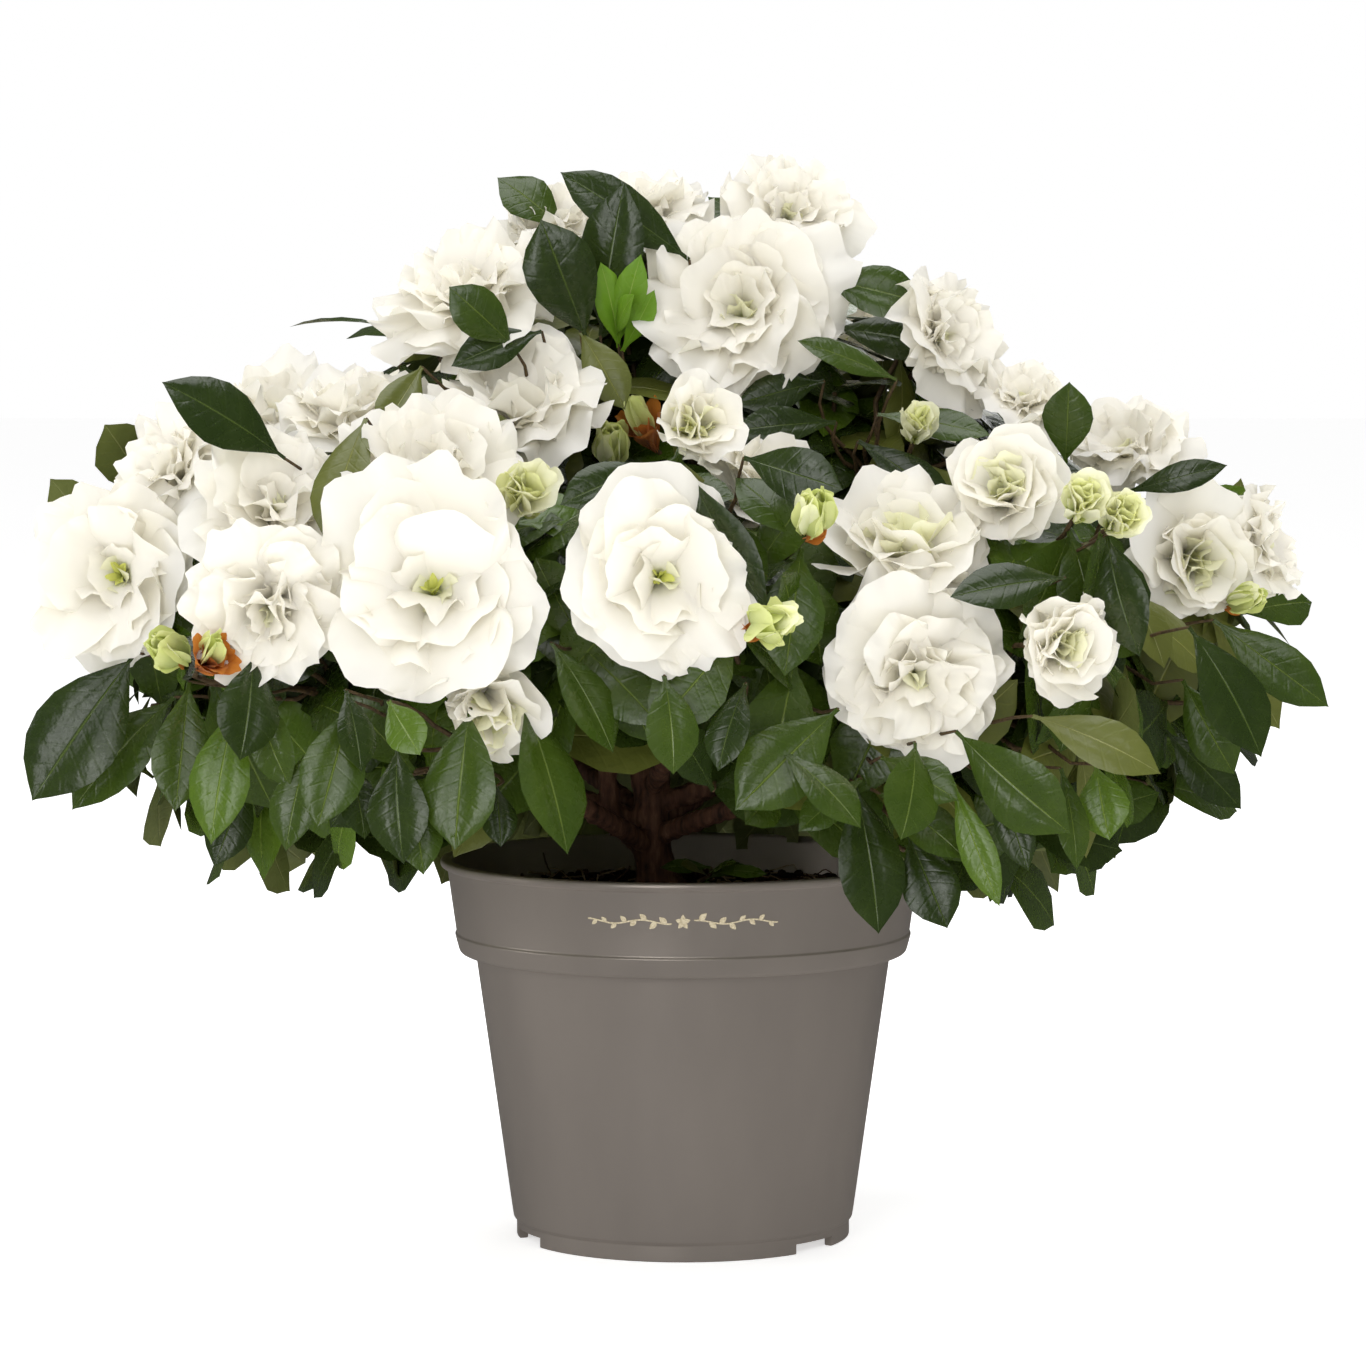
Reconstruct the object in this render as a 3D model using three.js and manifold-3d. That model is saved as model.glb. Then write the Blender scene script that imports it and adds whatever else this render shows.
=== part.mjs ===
// Potted azalea shrub: a short woody stem with its boughs, a wide domed crown of foliage masses,
// the root ball, and the moulded nursery pot it is grown and sold in.
// Millimetres, +Z up. The origin is the centre of the pot's foot ring, on the surface it stands on.
// The front of the plant faces -Y and +X is to its right.

import * as THREE from "three";
import { mergeVertices } from "three/addons/utils/BufferGeometryUtils.js";
import Module from "manifold-3d";

const wasm = await Module();
wasm.setup();

// ---------------------------------------------------------------- driving dimensions

const GAP = 0.35; // clearance between touching pieces

const pot = {
  height: 109.3,
  lipRadius: 70,
  lipHeight: 2.6, // the rounded bead round the mouth
  bandTopRadius: 67.9, // rim band just under the bead
  bandBottomRadius: 64.5,
  bandBottom: 82.2,
  grooveHeight: 88.2,
  grooveDepth: 0.5,
  bodyTopRadius: 59.8,
  bodyBottomRadius: 49.0,
  footRadius: 48.1,
  footHeight: 5.5,
  footWidth: 2.6,
  wall: 1.3,
  floorLow: 3.4,
  floorHigh: 4.9,
  edge: 0.6, // small bevels along the moulded edges
  segments: 54,
};
const notch = { count: 3, firstAngle: 82, width: 17, height: 2.9 };
const drain = { count: 6, ringRadius: 30, radius: 4.2 };

const soil = { height: 99, crownRise: 1.2, flatRadius: 42, edge: 2, segments: 36 };

const stem = {
  foot: [-7, 2],
  lean: [-9.5, -1, -5.5, 1], // x, y halfway up, then x, y at the fork
  fork: 146,
  footRadius: 8.4,
  flareHeight: 7,
  radius: 5.3,
  tipRadius: 3.9,
  lobes: [[3, 0.16], [5, 0.08]], // the root flare's swellings: how many, and how strong
};

// Each mass: its centre [x, y, z] and its half sizes [x, y, z].
const masses = {
  foliage_top: { at: [8, 4, 261], half: [63, 66, 49] },
  foliage_upper_left: { at: [-63, -22, 240], half: [56, 60, 46] },
  foliage_upper_right: { at: [66, -16, 228], half: [50, 60, 45] },
  foliage_upper_back: { at: [0, 74, 230], half: [78, 62, 50] },
  foliage_left: { at: [-131, -10, 188], half: [58, 68, 60] },
  foliage_right: { at: [129, -8, 182], half: [58, 68, 58] },
  foliage_front_left: { at: [-76, -104, 180], half: [62, 62, 60] },
  foliage_front: { at: [6, -116, 182], half: [58, 59, 56] },
  foliage_front_right: { at: [84, -98, 172], half: [60, 60, 60] },
  foliage_back_left: { at: [-90, 86, 176], half: [68, 68, 68] },
  foliage_back: { at: [0, 117, 172], half: [62, 60, 70] },
  foliage_back_right: { at: [90, 84, 174], half: [66, 68, 67] },
  foliage_skirt_left: { at: [-112, -36, 138], half: [58, 64, 35] },
  foliage_skirt_right: { at: [92, -38, 135], half: [52, 62, 38] },
};
const unevenness = 0.055; // how far a mass's surface wanders from its ellipsoid
const shrink = 0.6; // keeps the wandering mostly inside the ellipsoid
const roundness = 3; // icosahedron subdivision of each mass
const stemClearance = 26; // low masses stay this far from the stem's axis
const skirt = { radius: 72, height: 111.5, slope: 0.55 }; // how the lowest leaves fall past the rim

// Each bough: the mass it enters, its height on the stem, the height it bends at, and its radii.
// Two of them rise from low on the stem and pass through points of their own.
const boughs = {
  bough_top: {
    into: "foliage_top", from: 122, via: [[-13, -1, 141], [-6, 2, 180]], thick: 3.2, thin: 1.9,
  },
  bough_upper_left: {
    into: "foliage_upper_left", from: 107, via: [[-23, -4, 130], [-14, -5, 150], [-34, -14, 190]],
    thick: 3.1, thin: 1.6,
  },
  bough_upper_right: { into: "foliage_upper_right", from: 137, bend: 168, thick: 2.8, thin: 1.6 },
  bough_upper_back: { into: "foliage_upper_back", from: 139, bend: 166, thick: 2.8, thin: 1.6 },
  bough_left: { into: "foliage_left", from: 118, bend: 136, thick: 3.0, thin: 1.7 },
  bough_right: { into: "foliage_right", from: 124, bend: 140, thick: 2.9, thin: 1.7 },
  bough_front_left: { into: "foliage_front_left", from: 112, bend: 130, thick: 2.9, thin: 1.6 },
  bough_front: { into: "foliage_front", from: 129, bend: 144, thick: 2.6, thin: 1.5 },
  bough_front_right: { into: "foliage_front_right", from: 115, bend: 130, thick: 2.8, thin: 1.6 },
  bough_back_left: { into: "foliage_back_left", from: 121, bend: 138, thick: 2.7, thin: 1.6 },
  bough_back: { into: "foliage_back", from: 113, bend: 132, thick: 2.6, thin: 1.5 },
  bough_back_right: { into: "foliage_back_right", from: 119, bend: 136, thick: 2.7, thin: 1.6 },
};

const boughSides = 7;
const boughSteps = 9;
const longBoughSteps = 14;
const elbowShare = 0.34; // where a bough bends, as shares of the way to its mass
const kneeShare = 0.68;
const kneeRise = 0.42; // how much of the climb to the mass is done by the second bend

// ---------------------------------------------------------------- materials

function finish(color, roughness, metalness) {
  return new THREE.MeshStandardMaterial({ color, roughness, metalness });
}

const potPlastic = finish(0x6e6762, 0.42, 0.25);
const peat = finish(0x231a14, 0.95, 0);
const bark = finish(0x4a2f24, 0.85, 0);
const foliage = finish(0x3f5d2f, 0.7, 0);

// ---------------------------------------------------------------- solids

// A geometry as a closed solid that can be joined and cut.
function toSolid(geometry) {
  const bare = geometry.clone();
  bare.deleteAttribute("normal");
  bare.deleteAttribute("uv");
  const merged = mergeVertices(bare, 1e-4);
  const vertProperties = new Float32Array(merged.attributes.position.array);
  const triVerts = new Uint32Array(merged.index.array);
  return new wasm.Manifold(new wasm.Mesh({ numProp: 3, vertProperties, triVerts }));
}

// The largest closed body of a solid, as a geometry.
function toGeometry(solid) {
  const bodies = solid.decompose().sort((a, b) => b.volume() - a.volume());
  const mesh = bodies[0].getMesh();
  const geometry = new THREE.BufferGeometry();
  geometry.setAttribute("position", new THREE.BufferAttribute(mesh.vertProperties, 3));
  geometry.setIndex(new THREE.BufferAttribute(mesh.triVerts, 1));
  geometry.computeVertexNormals();
  return geometry;
}

// A profile of [radius, height] pairs, outer side first and upwards, turned round Z.
function turned(profile, segments) {
  const points = profile.map(([radius, height]) => new THREE.Vector2(radius, height));
  return new THREE.LatheGeometry(points, segments).rotateX(Math.PI / 2);
}

// A tapering limb: a unit cylinder bent along a curve, with a radius for each share of its length.
function limb(curve, radiusAt, sides, steps) {
  const geometry = new THREE.CylinderGeometry(1, 1, 1, sides, steps);
  const frames = curve.computeFrenetFrames(steps, false);
  const position = geometry.attributes.position;
  for (let i = 0; i < position.count; i++) {
    const share = THREE.MathUtils.clamp(position.getY(i) + 0.5, 0, 1);
    const step = Math.round(share * steps);
    const around = Math.atan2(position.getZ(i), position.getX(i));
    const out = Math.hypot(position.getX(i), position.getZ(i)) * radiusAt(share, around);
    const place = curve.getPointAt(share);
    place.addScaledVector(frames.normals[step], -out * Math.cos(around));
    place.addScaledVector(frames.binormals[step], out * Math.sin(around));
    position.setXYZ(i, place.x, place.y, place.z);
  }
  return geometry;
}

// ---------------------------------------------------------------- pot and root ball

// Inner radius of the pot's wall at a height, in its body and in its rim band.
function bodyInside(height) {
  const { footHeight, bandBottom, bodyBottomRadius, bodyTopRadius, wall } = pot;
  return THREE.MathUtils.mapLinear(height, footHeight, bandBottom, bodyBottomRadius, bodyTopRadius) - wall;
}

function bandInside(height) {
  const { bandBottom, bandBottomRadius, bandTopRadius, wall } = pot;
  return THREE.MathUtils.mapLinear(height, bandBottom, pot.height, bandBottomRadius, bandTopRadius) - wall;
}

function makePot() {
  const shoulder = pot.bandBottom + pot.wall;
  const bead = pot.height - pot.lipHeight;
  const grooveRadius = THREE.MathUtils.mapLinear(
    pot.grooveHeight, pot.bandBottom, bead, pot.bandBottomRadius, pot.bandTopRadius,
  );
  const shell = turned(
    [
      [0, pot.floorLow],
      [pot.footRadius - pot.footWidth, pot.floorLow],
      [pot.footRadius - pot.footWidth, 0],
      [pot.footRadius, 0],
      [pot.footRadius, pot.footHeight - pot.edge],
      [pot.bodyBottomRadius, pot.footHeight],
      [pot.bodyTopRadius, pot.bandBottom],
      [pot.bandBottomRadius - pot.edge, pot.bandBottom],
      [pot.bandBottomRadius, pot.bandBottom + pot.edge],
      [grooveRadius, pot.grooveHeight - pot.grooveDepth],
      [grooveRadius - pot.grooveDepth, pot.grooveHeight],
      [grooveRadius, pot.grooveHeight + pot.grooveDepth],
      [pot.bandTopRadius, bead],
      [pot.lipRadius, bead + pot.edge],
      [pot.lipRadius, pot.height - pot.edge],
      [pot.lipRadius - pot.edge, pot.height],
      [bandInside(pot.height), pot.height],
      [bandInside(shoulder), shoulder],
      [bodyInside(pot.bandBottom), shoulder],
      [bodyInside(pot.floorHigh), pot.floorHigh],
      [0, pot.floorHigh],
    ],
    pot.segments,
  );
  let solid = toSolid(shell);
  const cut = new THREE.BoxGeometry(3 * pot.footWidth, notch.width, 2 * notch.height);
  cut.translate(pot.footRadius - pot.footWidth / 2, 0, 0);
  for (let i = 0; i < notch.count; i++) {
    const angle = THREE.MathUtils.degToRad(notch.firstAngle + (360 * i) / notch.count);
    solid = solid.subtract(toSolid(cut.clone().rotateZ(angle)));
  }
  const hole = new THREE.CylinderGeometry(drain.radius, drain.radius, 4 * pot.wall, 16);
  hole.rotateX(Math.PI / 2).translate(drain.ringRadius, 0, pot.floorLow);
  for (let i = 0; i < drain.count; i++) {
    solid = solid.subtract(toSolid(hole.clone().rotateZ((2 * Math.PI * i) / drain.count)));
  }
  return toGeometry(solid);
}

function makeRootBall() {
  const shoulder = pot.bandBottom + pot.wall + GAP;
  const low = pot.floorHigh + GAP;
  return turned(
    [
      [0, low],
      [bodyInside(low) - GAP - soil.edge, low],
      [bodyInside(low + soil.edge) - GAP, low + soil.edge],
      [bodyInside(pot.bandBottom) - GAP, shoulder],
      [bandInside(shoulder) - GAP, shoulder + GAP],
      [bandInside(soil.height) - GAP, soil.height - soil.crownRise],
      [soil.flatRadius, soil.height],
      [0, soil.height],
    ],
    soil.segments,
  );
}

// ---------------------------------------------------------------- stem

const stemBase = soil.height + GAP;
const stemCurve = new THREE.CatmullRomCurve3([
  new THREE.Vector3(...stem.foot, stemBase),
  new THREE.Vector3(stem.lean[0], stem.lean[1], (stemBase + stem.fork) / 2),
  new THREE.Vector3(stem.lean[2], stem.lean[3], stem.fork),
]);

// The stem's radius: the root flare, lobed where roots leave it, dies away up the stem.
function stemRadius(share, around, extra = 0) {
  const flare = Math.exp((-share * (stem.fork - stemBase)) / (stem.flareHeight / 2));
  const lobes = stem.lobes.reduce((sum, [count, depth]) => sum + depth * Math.cos(count * around), 1);
  const plain = THREE.MathUtils.lerp(stem.radius, stem.tipRadius, share);
  return plain + (stem.footRadius - stem.radius) * flare * lobes + extra;
}

// The foot's ring is set level, so that the stem is cut flat on the soil. The inflated stem that
// cuts the boughs back reaches a little below it.
function makeStem(extra = 0) {
  const geometry = limb(stemCurve, (share, around) => stemRadius(share, around, extra), 12, 11);
  const position = geometry.attributes.position;
  for (let i = 0; i < position.count; i++) {
    if (position.getZ(i) < stemBase + 1) position.setZ(i, stemBase - extra);
  }
  return geometry;
}

// ---------------------------------------------------------------- foliage masses

// A small repeatable hash of a name, so that every mass gets its own unevenness.
function phaseOf(name) {
  let hash = 7;
  for (const letter of name) hash = (hash * 31 + letter.charCodeAt(0)) % 9973;
  return (hash / 9973) * 2 * Math.PI;
}

// Distance from a mass's centre to its ellipsoid along a unit direction.
function ellipsoidReach({ half }, way) {
  return 1 / Math.hypot(way.x / half[0], way.y / half[1], way.z / half[2]);
}

// The flat faces a mass stops at: halfway through each overlap with a neighbour, then the space
// kept for the stem, and the slope that falls past the pot's rim.
function limitsOf(name) {
  const mass = masses[name];
  const centre = new THREE.Vector3(...mass.at);
  const limits = [];
  for (const [other, neighbour] of Object.entries(masses)) {
    if (other === name) continue;
    const way = new THREE.Vector3(...neighbour.at).sub(centre);
    const apart = way.length();
    way.normalize();
    const mine = ellipsoidReach(mass, way);
    const theirs = ellipsoidReach(neighbour, way);
    const middle = THREE.MathUtils.clamp((apart + mine - theirs) / 2, 0.2 * apart, 0.8 * apart);
    limits.push({ normal: way, distance: middle - GAP / 2 });
  }
  const outward = new THREE.Vector3(mass.at[0], mass.at[1], 0);
  const radius = outward.length();
  outward.normalize();
  if (radius > 2 * stemClearance) {
    limits.push({ normal: outward.clone().negate(), distance: radius - stemClearance });
  }
  const down = new THREE.Vector3(-skirt.slope * outward.x, -skirt.slope * outward.y, -1);
  const drop = mass.at[2] - skirt.height + skirt.slope * (radius - skirt.radius);
  limits.push({ normal: down.clone().normalize(), distance: drop / down.length() });
  return limits;
}

function makeMass(name, extra = 0) {
  const mass = masses[name];
  const phase = phaseOf(name);
  const limits = limitsOf(name);
  const geometry = mergeVertices(
    new THREE.IcosahedronGeometry(1, roundness).deleteAttribute("normal").deleteAttribute("uv"),
    1e-4,
  );
  const position = geometry.attributes.position;
  const way = new THREE.Vector3();
  for (let i = 0; i < position.count; i++) {
    way.fromBufferAttribute(position, i).normalize();
    const waves =
      Math.sin(3.1 * way.x + 2.3 * way.z + phase) +
      Math.sin(4.3 * way.y - 2.9 * way.x + 2 * phase) +
      0.7 * Math.sin(6.1 * way.z + 3.7 * way.y + 3 * phase);
    let reach = ellipsoidReach(mass, way) * (1 + unevenness * (waves - shrink));
    for (const { normal, distance } of limits) {
      const along = way.dot(normal);
      if (along > 1e-3) reach = Math.min(reach, distance / along);
    }
    way.multiplyScalar(reach + extra).add(new THREE.Vector3(...mass.at));
    position.setXYZ(i, way.x, way.y, way.z);
  }
  return geometry;
}

// ---------------------------------------------------------------- boughs

// A bough rises from inside the stem, bends outwards and runs on to the middle of its mass.
function makeBough({ into, from, bend, via, thick, thin }) {
  const share = (from - stemBase) / (stem.fork - stemBase);
  const start = stemCurve.getPointAt(THREE.MathUtils.clamp(share, 0, 1));
  const goal = new THREE.Vector3(...masses[into].at);
  let middle;
  if (via) {
    middle = via.map((point) => new THREE.Vector3(...point));
  } else {
    const elbow = start.clone().lerp(goal, elbowShare).setZ(bend);
    const knee = start.clone().lerp(goal, kneeShare);
    middle = [elbow, knee.setZ(THREE.MathUtils.lerp(bend, goal.z, kneeRise))];
  }
  const curve = new THREE.CatmullRomCurve3([start, ...middle, goal]);
  const radiusAt = (along) => THREE.MathUtils.lerp(thick, thin, along);
  return limb(curve, radiusAt, boughSides, via ? longBoughSteps : boughSteps);
}

// ---------------------------------------------------------------- the plant

function named(name, geometry, material) {
  const mesh = new THREE.Mesh(geometry, material);
  mesh.name = name;
  return mesh;
}

const plant = new THREE.Group();
plant.add(named("pot", makePot(), potPlastic));
plant.add(named("root_ball", makeRootBall(), peat));
plant.add(named("trunk", makeStem(), bark));

// What a bough is cut back from: the stem, every mass and the boughs made before it.
let taken = toSolid(makeStem(GAP));
for (const name of Object.keys(masses)) taken = taken.add(toSolid(makeMass(name, GAP)));
for (const [name, bough] of Object.entries(boughs)) {
  const geometry = toGeometry(toSolid(makeBough(bough)).subtract(taken));
  plant.add(named(name, geometry, bark));
  const thicker = { ...bough, thick: bough.thick + GAP, thin: bough.thin + GAP };
  taken = taken.add(toSolid(makeBough(thicker)));
}
for (const name of Object.keys(masses)) plant.add(named(name, makeMass(name), foliage));

export default plant;
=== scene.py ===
"""A potted double white azalea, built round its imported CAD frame.

The foliage masses are replaced by twigs, leaves, buds and ruffled blooms that grow on from the
boughs; the pot, the soil and the woody stems are remade with their fine shapes.
Lengths are in metres; sizes written in millimetres carry the factor MM.
"""

import math

import bmesh
import bpy
import numpy as np
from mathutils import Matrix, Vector
from mathutils.bvhtree import BVHTree


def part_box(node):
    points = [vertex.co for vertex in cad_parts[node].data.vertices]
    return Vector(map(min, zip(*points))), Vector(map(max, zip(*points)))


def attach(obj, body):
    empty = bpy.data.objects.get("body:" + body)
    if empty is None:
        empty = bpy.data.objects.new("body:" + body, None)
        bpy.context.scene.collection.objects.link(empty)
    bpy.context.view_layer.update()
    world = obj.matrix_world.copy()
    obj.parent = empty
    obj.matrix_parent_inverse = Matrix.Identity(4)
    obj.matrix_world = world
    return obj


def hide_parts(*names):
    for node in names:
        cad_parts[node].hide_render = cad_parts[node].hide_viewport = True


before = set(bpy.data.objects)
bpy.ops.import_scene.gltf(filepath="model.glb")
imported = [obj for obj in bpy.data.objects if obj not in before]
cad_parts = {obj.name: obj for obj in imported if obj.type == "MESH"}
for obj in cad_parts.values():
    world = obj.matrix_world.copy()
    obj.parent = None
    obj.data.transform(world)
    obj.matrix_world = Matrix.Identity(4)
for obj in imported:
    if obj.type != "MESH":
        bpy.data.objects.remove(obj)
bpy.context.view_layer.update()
MM = 0.001
UP = np.array([0.0, 0.0, 1.0])
TURN = 2 * math.pi
GOLDEN = math.radians(137.5)

# ------------------------------------------------------------------ camera

CAMERA_PLACE = np.array([0.0, -1.448, 0.264])
CAMERA_PITCH = 4.126  # degrees below the level
CAMERA_LENS = 133.0
SENSOR = 36.0

camera_data = bpy.data.cameras.new("camera")
camera_data.lens = CAMERA_LENS
camera_data.sensor_width = SENSOR
camera = bpy.data.objects.new("camera", camera_data)
camera.location = CAMERA_PLACE
camera.rotation_euler = (math.radians(90 - CAMERA_PITCH), 0, 0)
bpy.context.scene.collection.objects.link(camera)
bpy.context.scene.camera = camera

# ------------------------------------------------------------------ small vector tools


def unit(v):
    v = np.asarray(v, float)
    return v / np.maximum(np.linalg.norm(v, axis=-1, keepdims=True), 1e-12)


def dot(a, b):
    return np.sum(a * b, axis=-1, keepdims=True)


def across_to(axis, hint):
    """The part of hint at right angles to axis, as a unit vector."""
    axis, hint = np.asarray(axis, float), np.asarray(hint, float)
    flat = hint - dot(hint, axis) * axis
    spare = np.cross(axis, [0.31, 0.87, 0.38])
    return unit(np.where(np.linalg.norm(flat, axis=-1, keepdims=True) < 1e-4, spare, flat))


def facing(yaw, pitch):
    """A direction: yaw 0 looks at the front, positive to the right; pitch is above the level."""
    yaw, pitch = math.radians(yaw), math.radians(pitch)
    return np.array([math.sin(yaw) * math.cos(pitch), -math.cos(yaw) * math.cos(pitch), math.sin(pitch)])


def smooth_step(x):
    x = np.clip(x, 0, 1)
    return x * x * (3 - 2 * x)


WAVE_COUNT = 7
WAVE_REACH = 4  # their sum is seldom further from 0 than this


def waves(points, scale, seed):
    """A soft repeatable noise, mostly from -1 to 1, summed from sine waves through space."""
    rng = np.random.default_rng(seed)
    total = np.zeros(len(points))
    for _ in range(WAVE_COUNT):
        way = unit(rng.normal(size=3)) * rng.uniform(0.7, 1.5) / scale
        total += np.sin(points @ way * TURN + rng.uniform(0, TURN))
    return total / WAVE_REACH


# ------------------------------------------------------------------ meshes from arrays


class Patches:
    """Gathers vertices, quads, map coordinates and material numbers for one joined piece."""

    def __init__(self):
        self.points, self.quads, self.maps, self.shades = [], [], [], []
        self.count = 0

    def add(self, points, quads, maps, shade):
        """points (V, 3), quads (F, 4), maps (V, 2); shade is one number or one for each quad."""
        self.points.append(points)
        self.quads.append(quads + self.count)
        self.maps.append(maps)
        self.shades.append(np.broadcast_to(shade, len(quads)))
        self.count += len(points)

    def piece(self, name, materials, slot):
        points = np.concatenate(self.points)
        quads = np.concatenate(self.quads)
        maps = np.concatenate(self.maps)
        mesh = bpy.data.meshes.new(name)
        mesh.vertices.add(len(points))
        mesh.vertices.foreach_set("co", points.astype(np.float32).ravel())
        mesh.loops.add(quads.size)
        mesh.loops.foreach_set("vertex_index", quads.astype(np.int32).ravel())
        mesh.polygons.add(len(quads))
        mesh.polygons.foreach_set("loop_start", np.arange(0, quads.size, 4, dtype=np.int32))
        mesh.polygons.foreach_set("material_index", np.concatenate(self.shades).astype(np.int32))
        mesh.polygons.foreach_set("use_smooth", np.ones(len(quads), bool))
        layer = mesh.uv_layers.new(name="OFBake")
        layer.data.foreach_set("uv", maps[quads.ravel()].astype(np.float32).ravel())
        for material in materials:
            mesh.materials.append(material)
        mesh.update(calc_edges=True)
        mesh.validate()
        return place(mesh, name)


def mesh_points(mesh):
    points = np.zeros(len(mesh.vertices) * 3, np.float32)
    mesh.vertices.foreach_get("co", points)
    return points.reshape(-1, 3).astype(float)


def move_points(mesh, points):
    """Gives a mesh new places for its vertices, and smooth faces."""
    mesh.vertices.foreach_set("co", points.astype(np.float32).ravel())
    mesh.update()
    mesh.polygons.foreach_set("use_smooth", np.ones(len(mesh.polygons), bool))


def place(mesh, name):
    """A mesh as a piece of the plant, riding on its one body."""
    piece = bpy.data.objects.new(name, mesh)
    bpy.context.scene.collection.objects.link(piece)
    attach(piece, "root")
    return piece


def grid_quads(rows, columns):
    """The quads of one grid of rows by columns points."""
    corner = np.arange(rows * columns).reshape(rows, columns)
    return np.stack(
        [corner[:-1, :-1], corner[:-1, 1:], corner[1:, 1:], corner[1:, :-1]], axis=-1
    ).reshape(-1, 4)


def many_grids(count, rows, columns):
    """The quads of count grids, one after another."""
    one = grid_quads(rows, columns)
    return (one[None] + (np.arange(count) * rows * columns)[:, None, None]).reshape(-1, 4)


def tube(points, radii, sides=7):
    """Points and quads of a tube along points, closed with a small cap at its far end."""
    points, radii = np.asarray(points, float), np.asarray(radii, float)
    tangents = unit(np.gradient(points, axis=0))
    side = across_to(tangents[0], [0.3, 0.9, 0.1])
    rings = []
    for point, tangent, radius in zip(points, tangents, radii):
        side = across_to(tangent, side)
        other = np.cross(tangent, side)
        turn = np.linspace(0, TURN, sides, endpoint=False)[:, None]
        rings.append(point + radius * (np.cos(turn) * side + np.sin(turn) * other))
    rings.append(np.repeat(points[-1:] + 0.5 * radii[-1] * tangents[-1:], sides, axis=0))
    vertices = np.concatenate(rings)
    corner = np.arange(len(rings) * sides).reshape(len(rings), sides)
    onward = np.roll(corner, -1, axis=1)
    quads = np.stack([corner[:-1], onward[:-1], onward[1:], corner[1:]], axis=-1).reshape(-1, 4)
    return vertices, quads


def bend(start, start_way, end, end_way, steps):
    """A smooth curve from start to end that leaves and arrives along the two directions."""
    reach = 0.45 * np.linalg.norm(end - start)
    control = [start, start + reach * unit(start_way), end - reach * unit(end_way), end]
    t = np.linspace(0, 1, steps)[:, None]
    return (
        (1 - t) ** 3 * control[0]
        + 3 * t * (1 - t) ** 2 * control[1]
        + 3 * t**2 * (1 - t) * control[2]
        + t**3 * control[3]
    )


# ------------------------------------------------------------------ materials


def srgb(red, green, blue):
    """A display colour, 0 to 255, as the linear colour that the shaders take."""

    def linear(c):
        c /= 255
        return c / 12.92 if c <= 0.04045 else ((c + 0.055) / 1.055) ** 2.4

    return (linear(red), linear(green), linear(blue), 1)


class Shader:
    """A material's node tree, with short ways to add and join nodes."""

    def __init__(self, name, **sockets):
        self.material = bpy.data.materials.new(name)
        self.material.use_nodes = True
        self.nodes = self.material.node_tree.nodes
        self.main = self.nodes["Principled BSDF"]
        self.output = self.nodes["Material Output"]
        for socket, value in sockets.items():
            self.main.inputs[socket.replace("_", " ")].default_value = value

    def node(self, kind, **settings):
        node = self.nodes.new("ShaderNode" + kind)
        for name, value in settings.items():
            setattr(node, name, value)
        return node

    def join(self, source, target):
        self.material.node_tree.links.new(source, target)

    def math(self, operation, first, second):
        node = self.node("Math", operation=operation)
        for socket, value in zip(node.inputs, (first, second)):
            if isinstance(value, (int, float)):
                socket.default_value = value
            else:
                self.join(value, socket)
        return node.outputs[0]

    def ramp(self, factor, *stops):
        """A colour ramp of (place, colour) stops driven by factor."""
        node = self.node("ValToRGB")
        elements = node.color_ramp.elements
        while len(elements) < len(stops):
            elements.new(0.5)
        for element, (place_, colour) in zip(elements, stops):
            element.position = place_
            element.color = colour
        self.join(factor, node.inputs[0])
        return node.outputs[0]

    def noise(self, scale, detail=4.0, rough=0.55, stretch=None):
        """Noise in the object's own coordinates, in cycles per metre."""
        node = self.node("TexNoise")
        node.inputs["Scale"].default_value = scale
        node.inputs["Detail"].default_value = detail
        node.inputs["Roughness"].default_value = rough
        place_ = self.node("TexCoord").outputs["Object"]
        if stretch:
            mapping = self.node("Mapping")
            mapping.inputs["Scale"].default_value = stretch
            self.join(place_, mapping.inputs[0])
            place_ = mapping.outputs[0]
        self.join(place_, node.inputs["Vector"])
        return node.outputs["Fac"]

    def range(self, factor, low, high):
        node = self.node("MapRange")
        node.inputs["To Min"].default_value = low
        node.inputs["To Max"].default_value = high
        self.join(factor, node.inputs["Value"])
        return node.outputs[0]

    def colour(self, socket):
        self.join(socket, self.main.inputs["Base Color"])

    def roughness(self, socket):
        self.join(socket, self.main.inputs["Roughness"])

    def bump(self, height, distance, strength):
        node = self.node("Bump")
        node.inputs["Distance"].default_value = distance
        node.inputs["Strength"].default_value = strength
        self.join(height, node.inputs["Height"])
        self.join(node.outputs[0], self.main.inputs["Normal"])

    def across_along(self):
        """The map's two coordinates: across a leaf or petal from -1 to 1, and along it from 0 to 1."""
        split = self.node("SeparateXYZ")
        self.join(self.node("UVMap", uv_map="OFBake").outputs[0], split.inputs[0])
        across = self.math("MULTIPLY", self.math("SUBTRACT", split.outputs[0], 0.5), 2.0)
        return across, split.outputs[1]

    def translucent(self, colour, share):
        """Lets some light through: the thin tissue of petals and leaves."""
        through = self.node("BsdfTranslucent")
        through.inputs["Color"].default_value = colour
        mix = self.node("MixShader")
        mix.inputs[0].default_value = share
        self.join(self.main.outputs[0], mix.inputs[1])
        self.join(through.outputs[0], mix.inputs[2])
        self.join(mix.outputs[0], self.output.inputs["Surface"])


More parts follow.
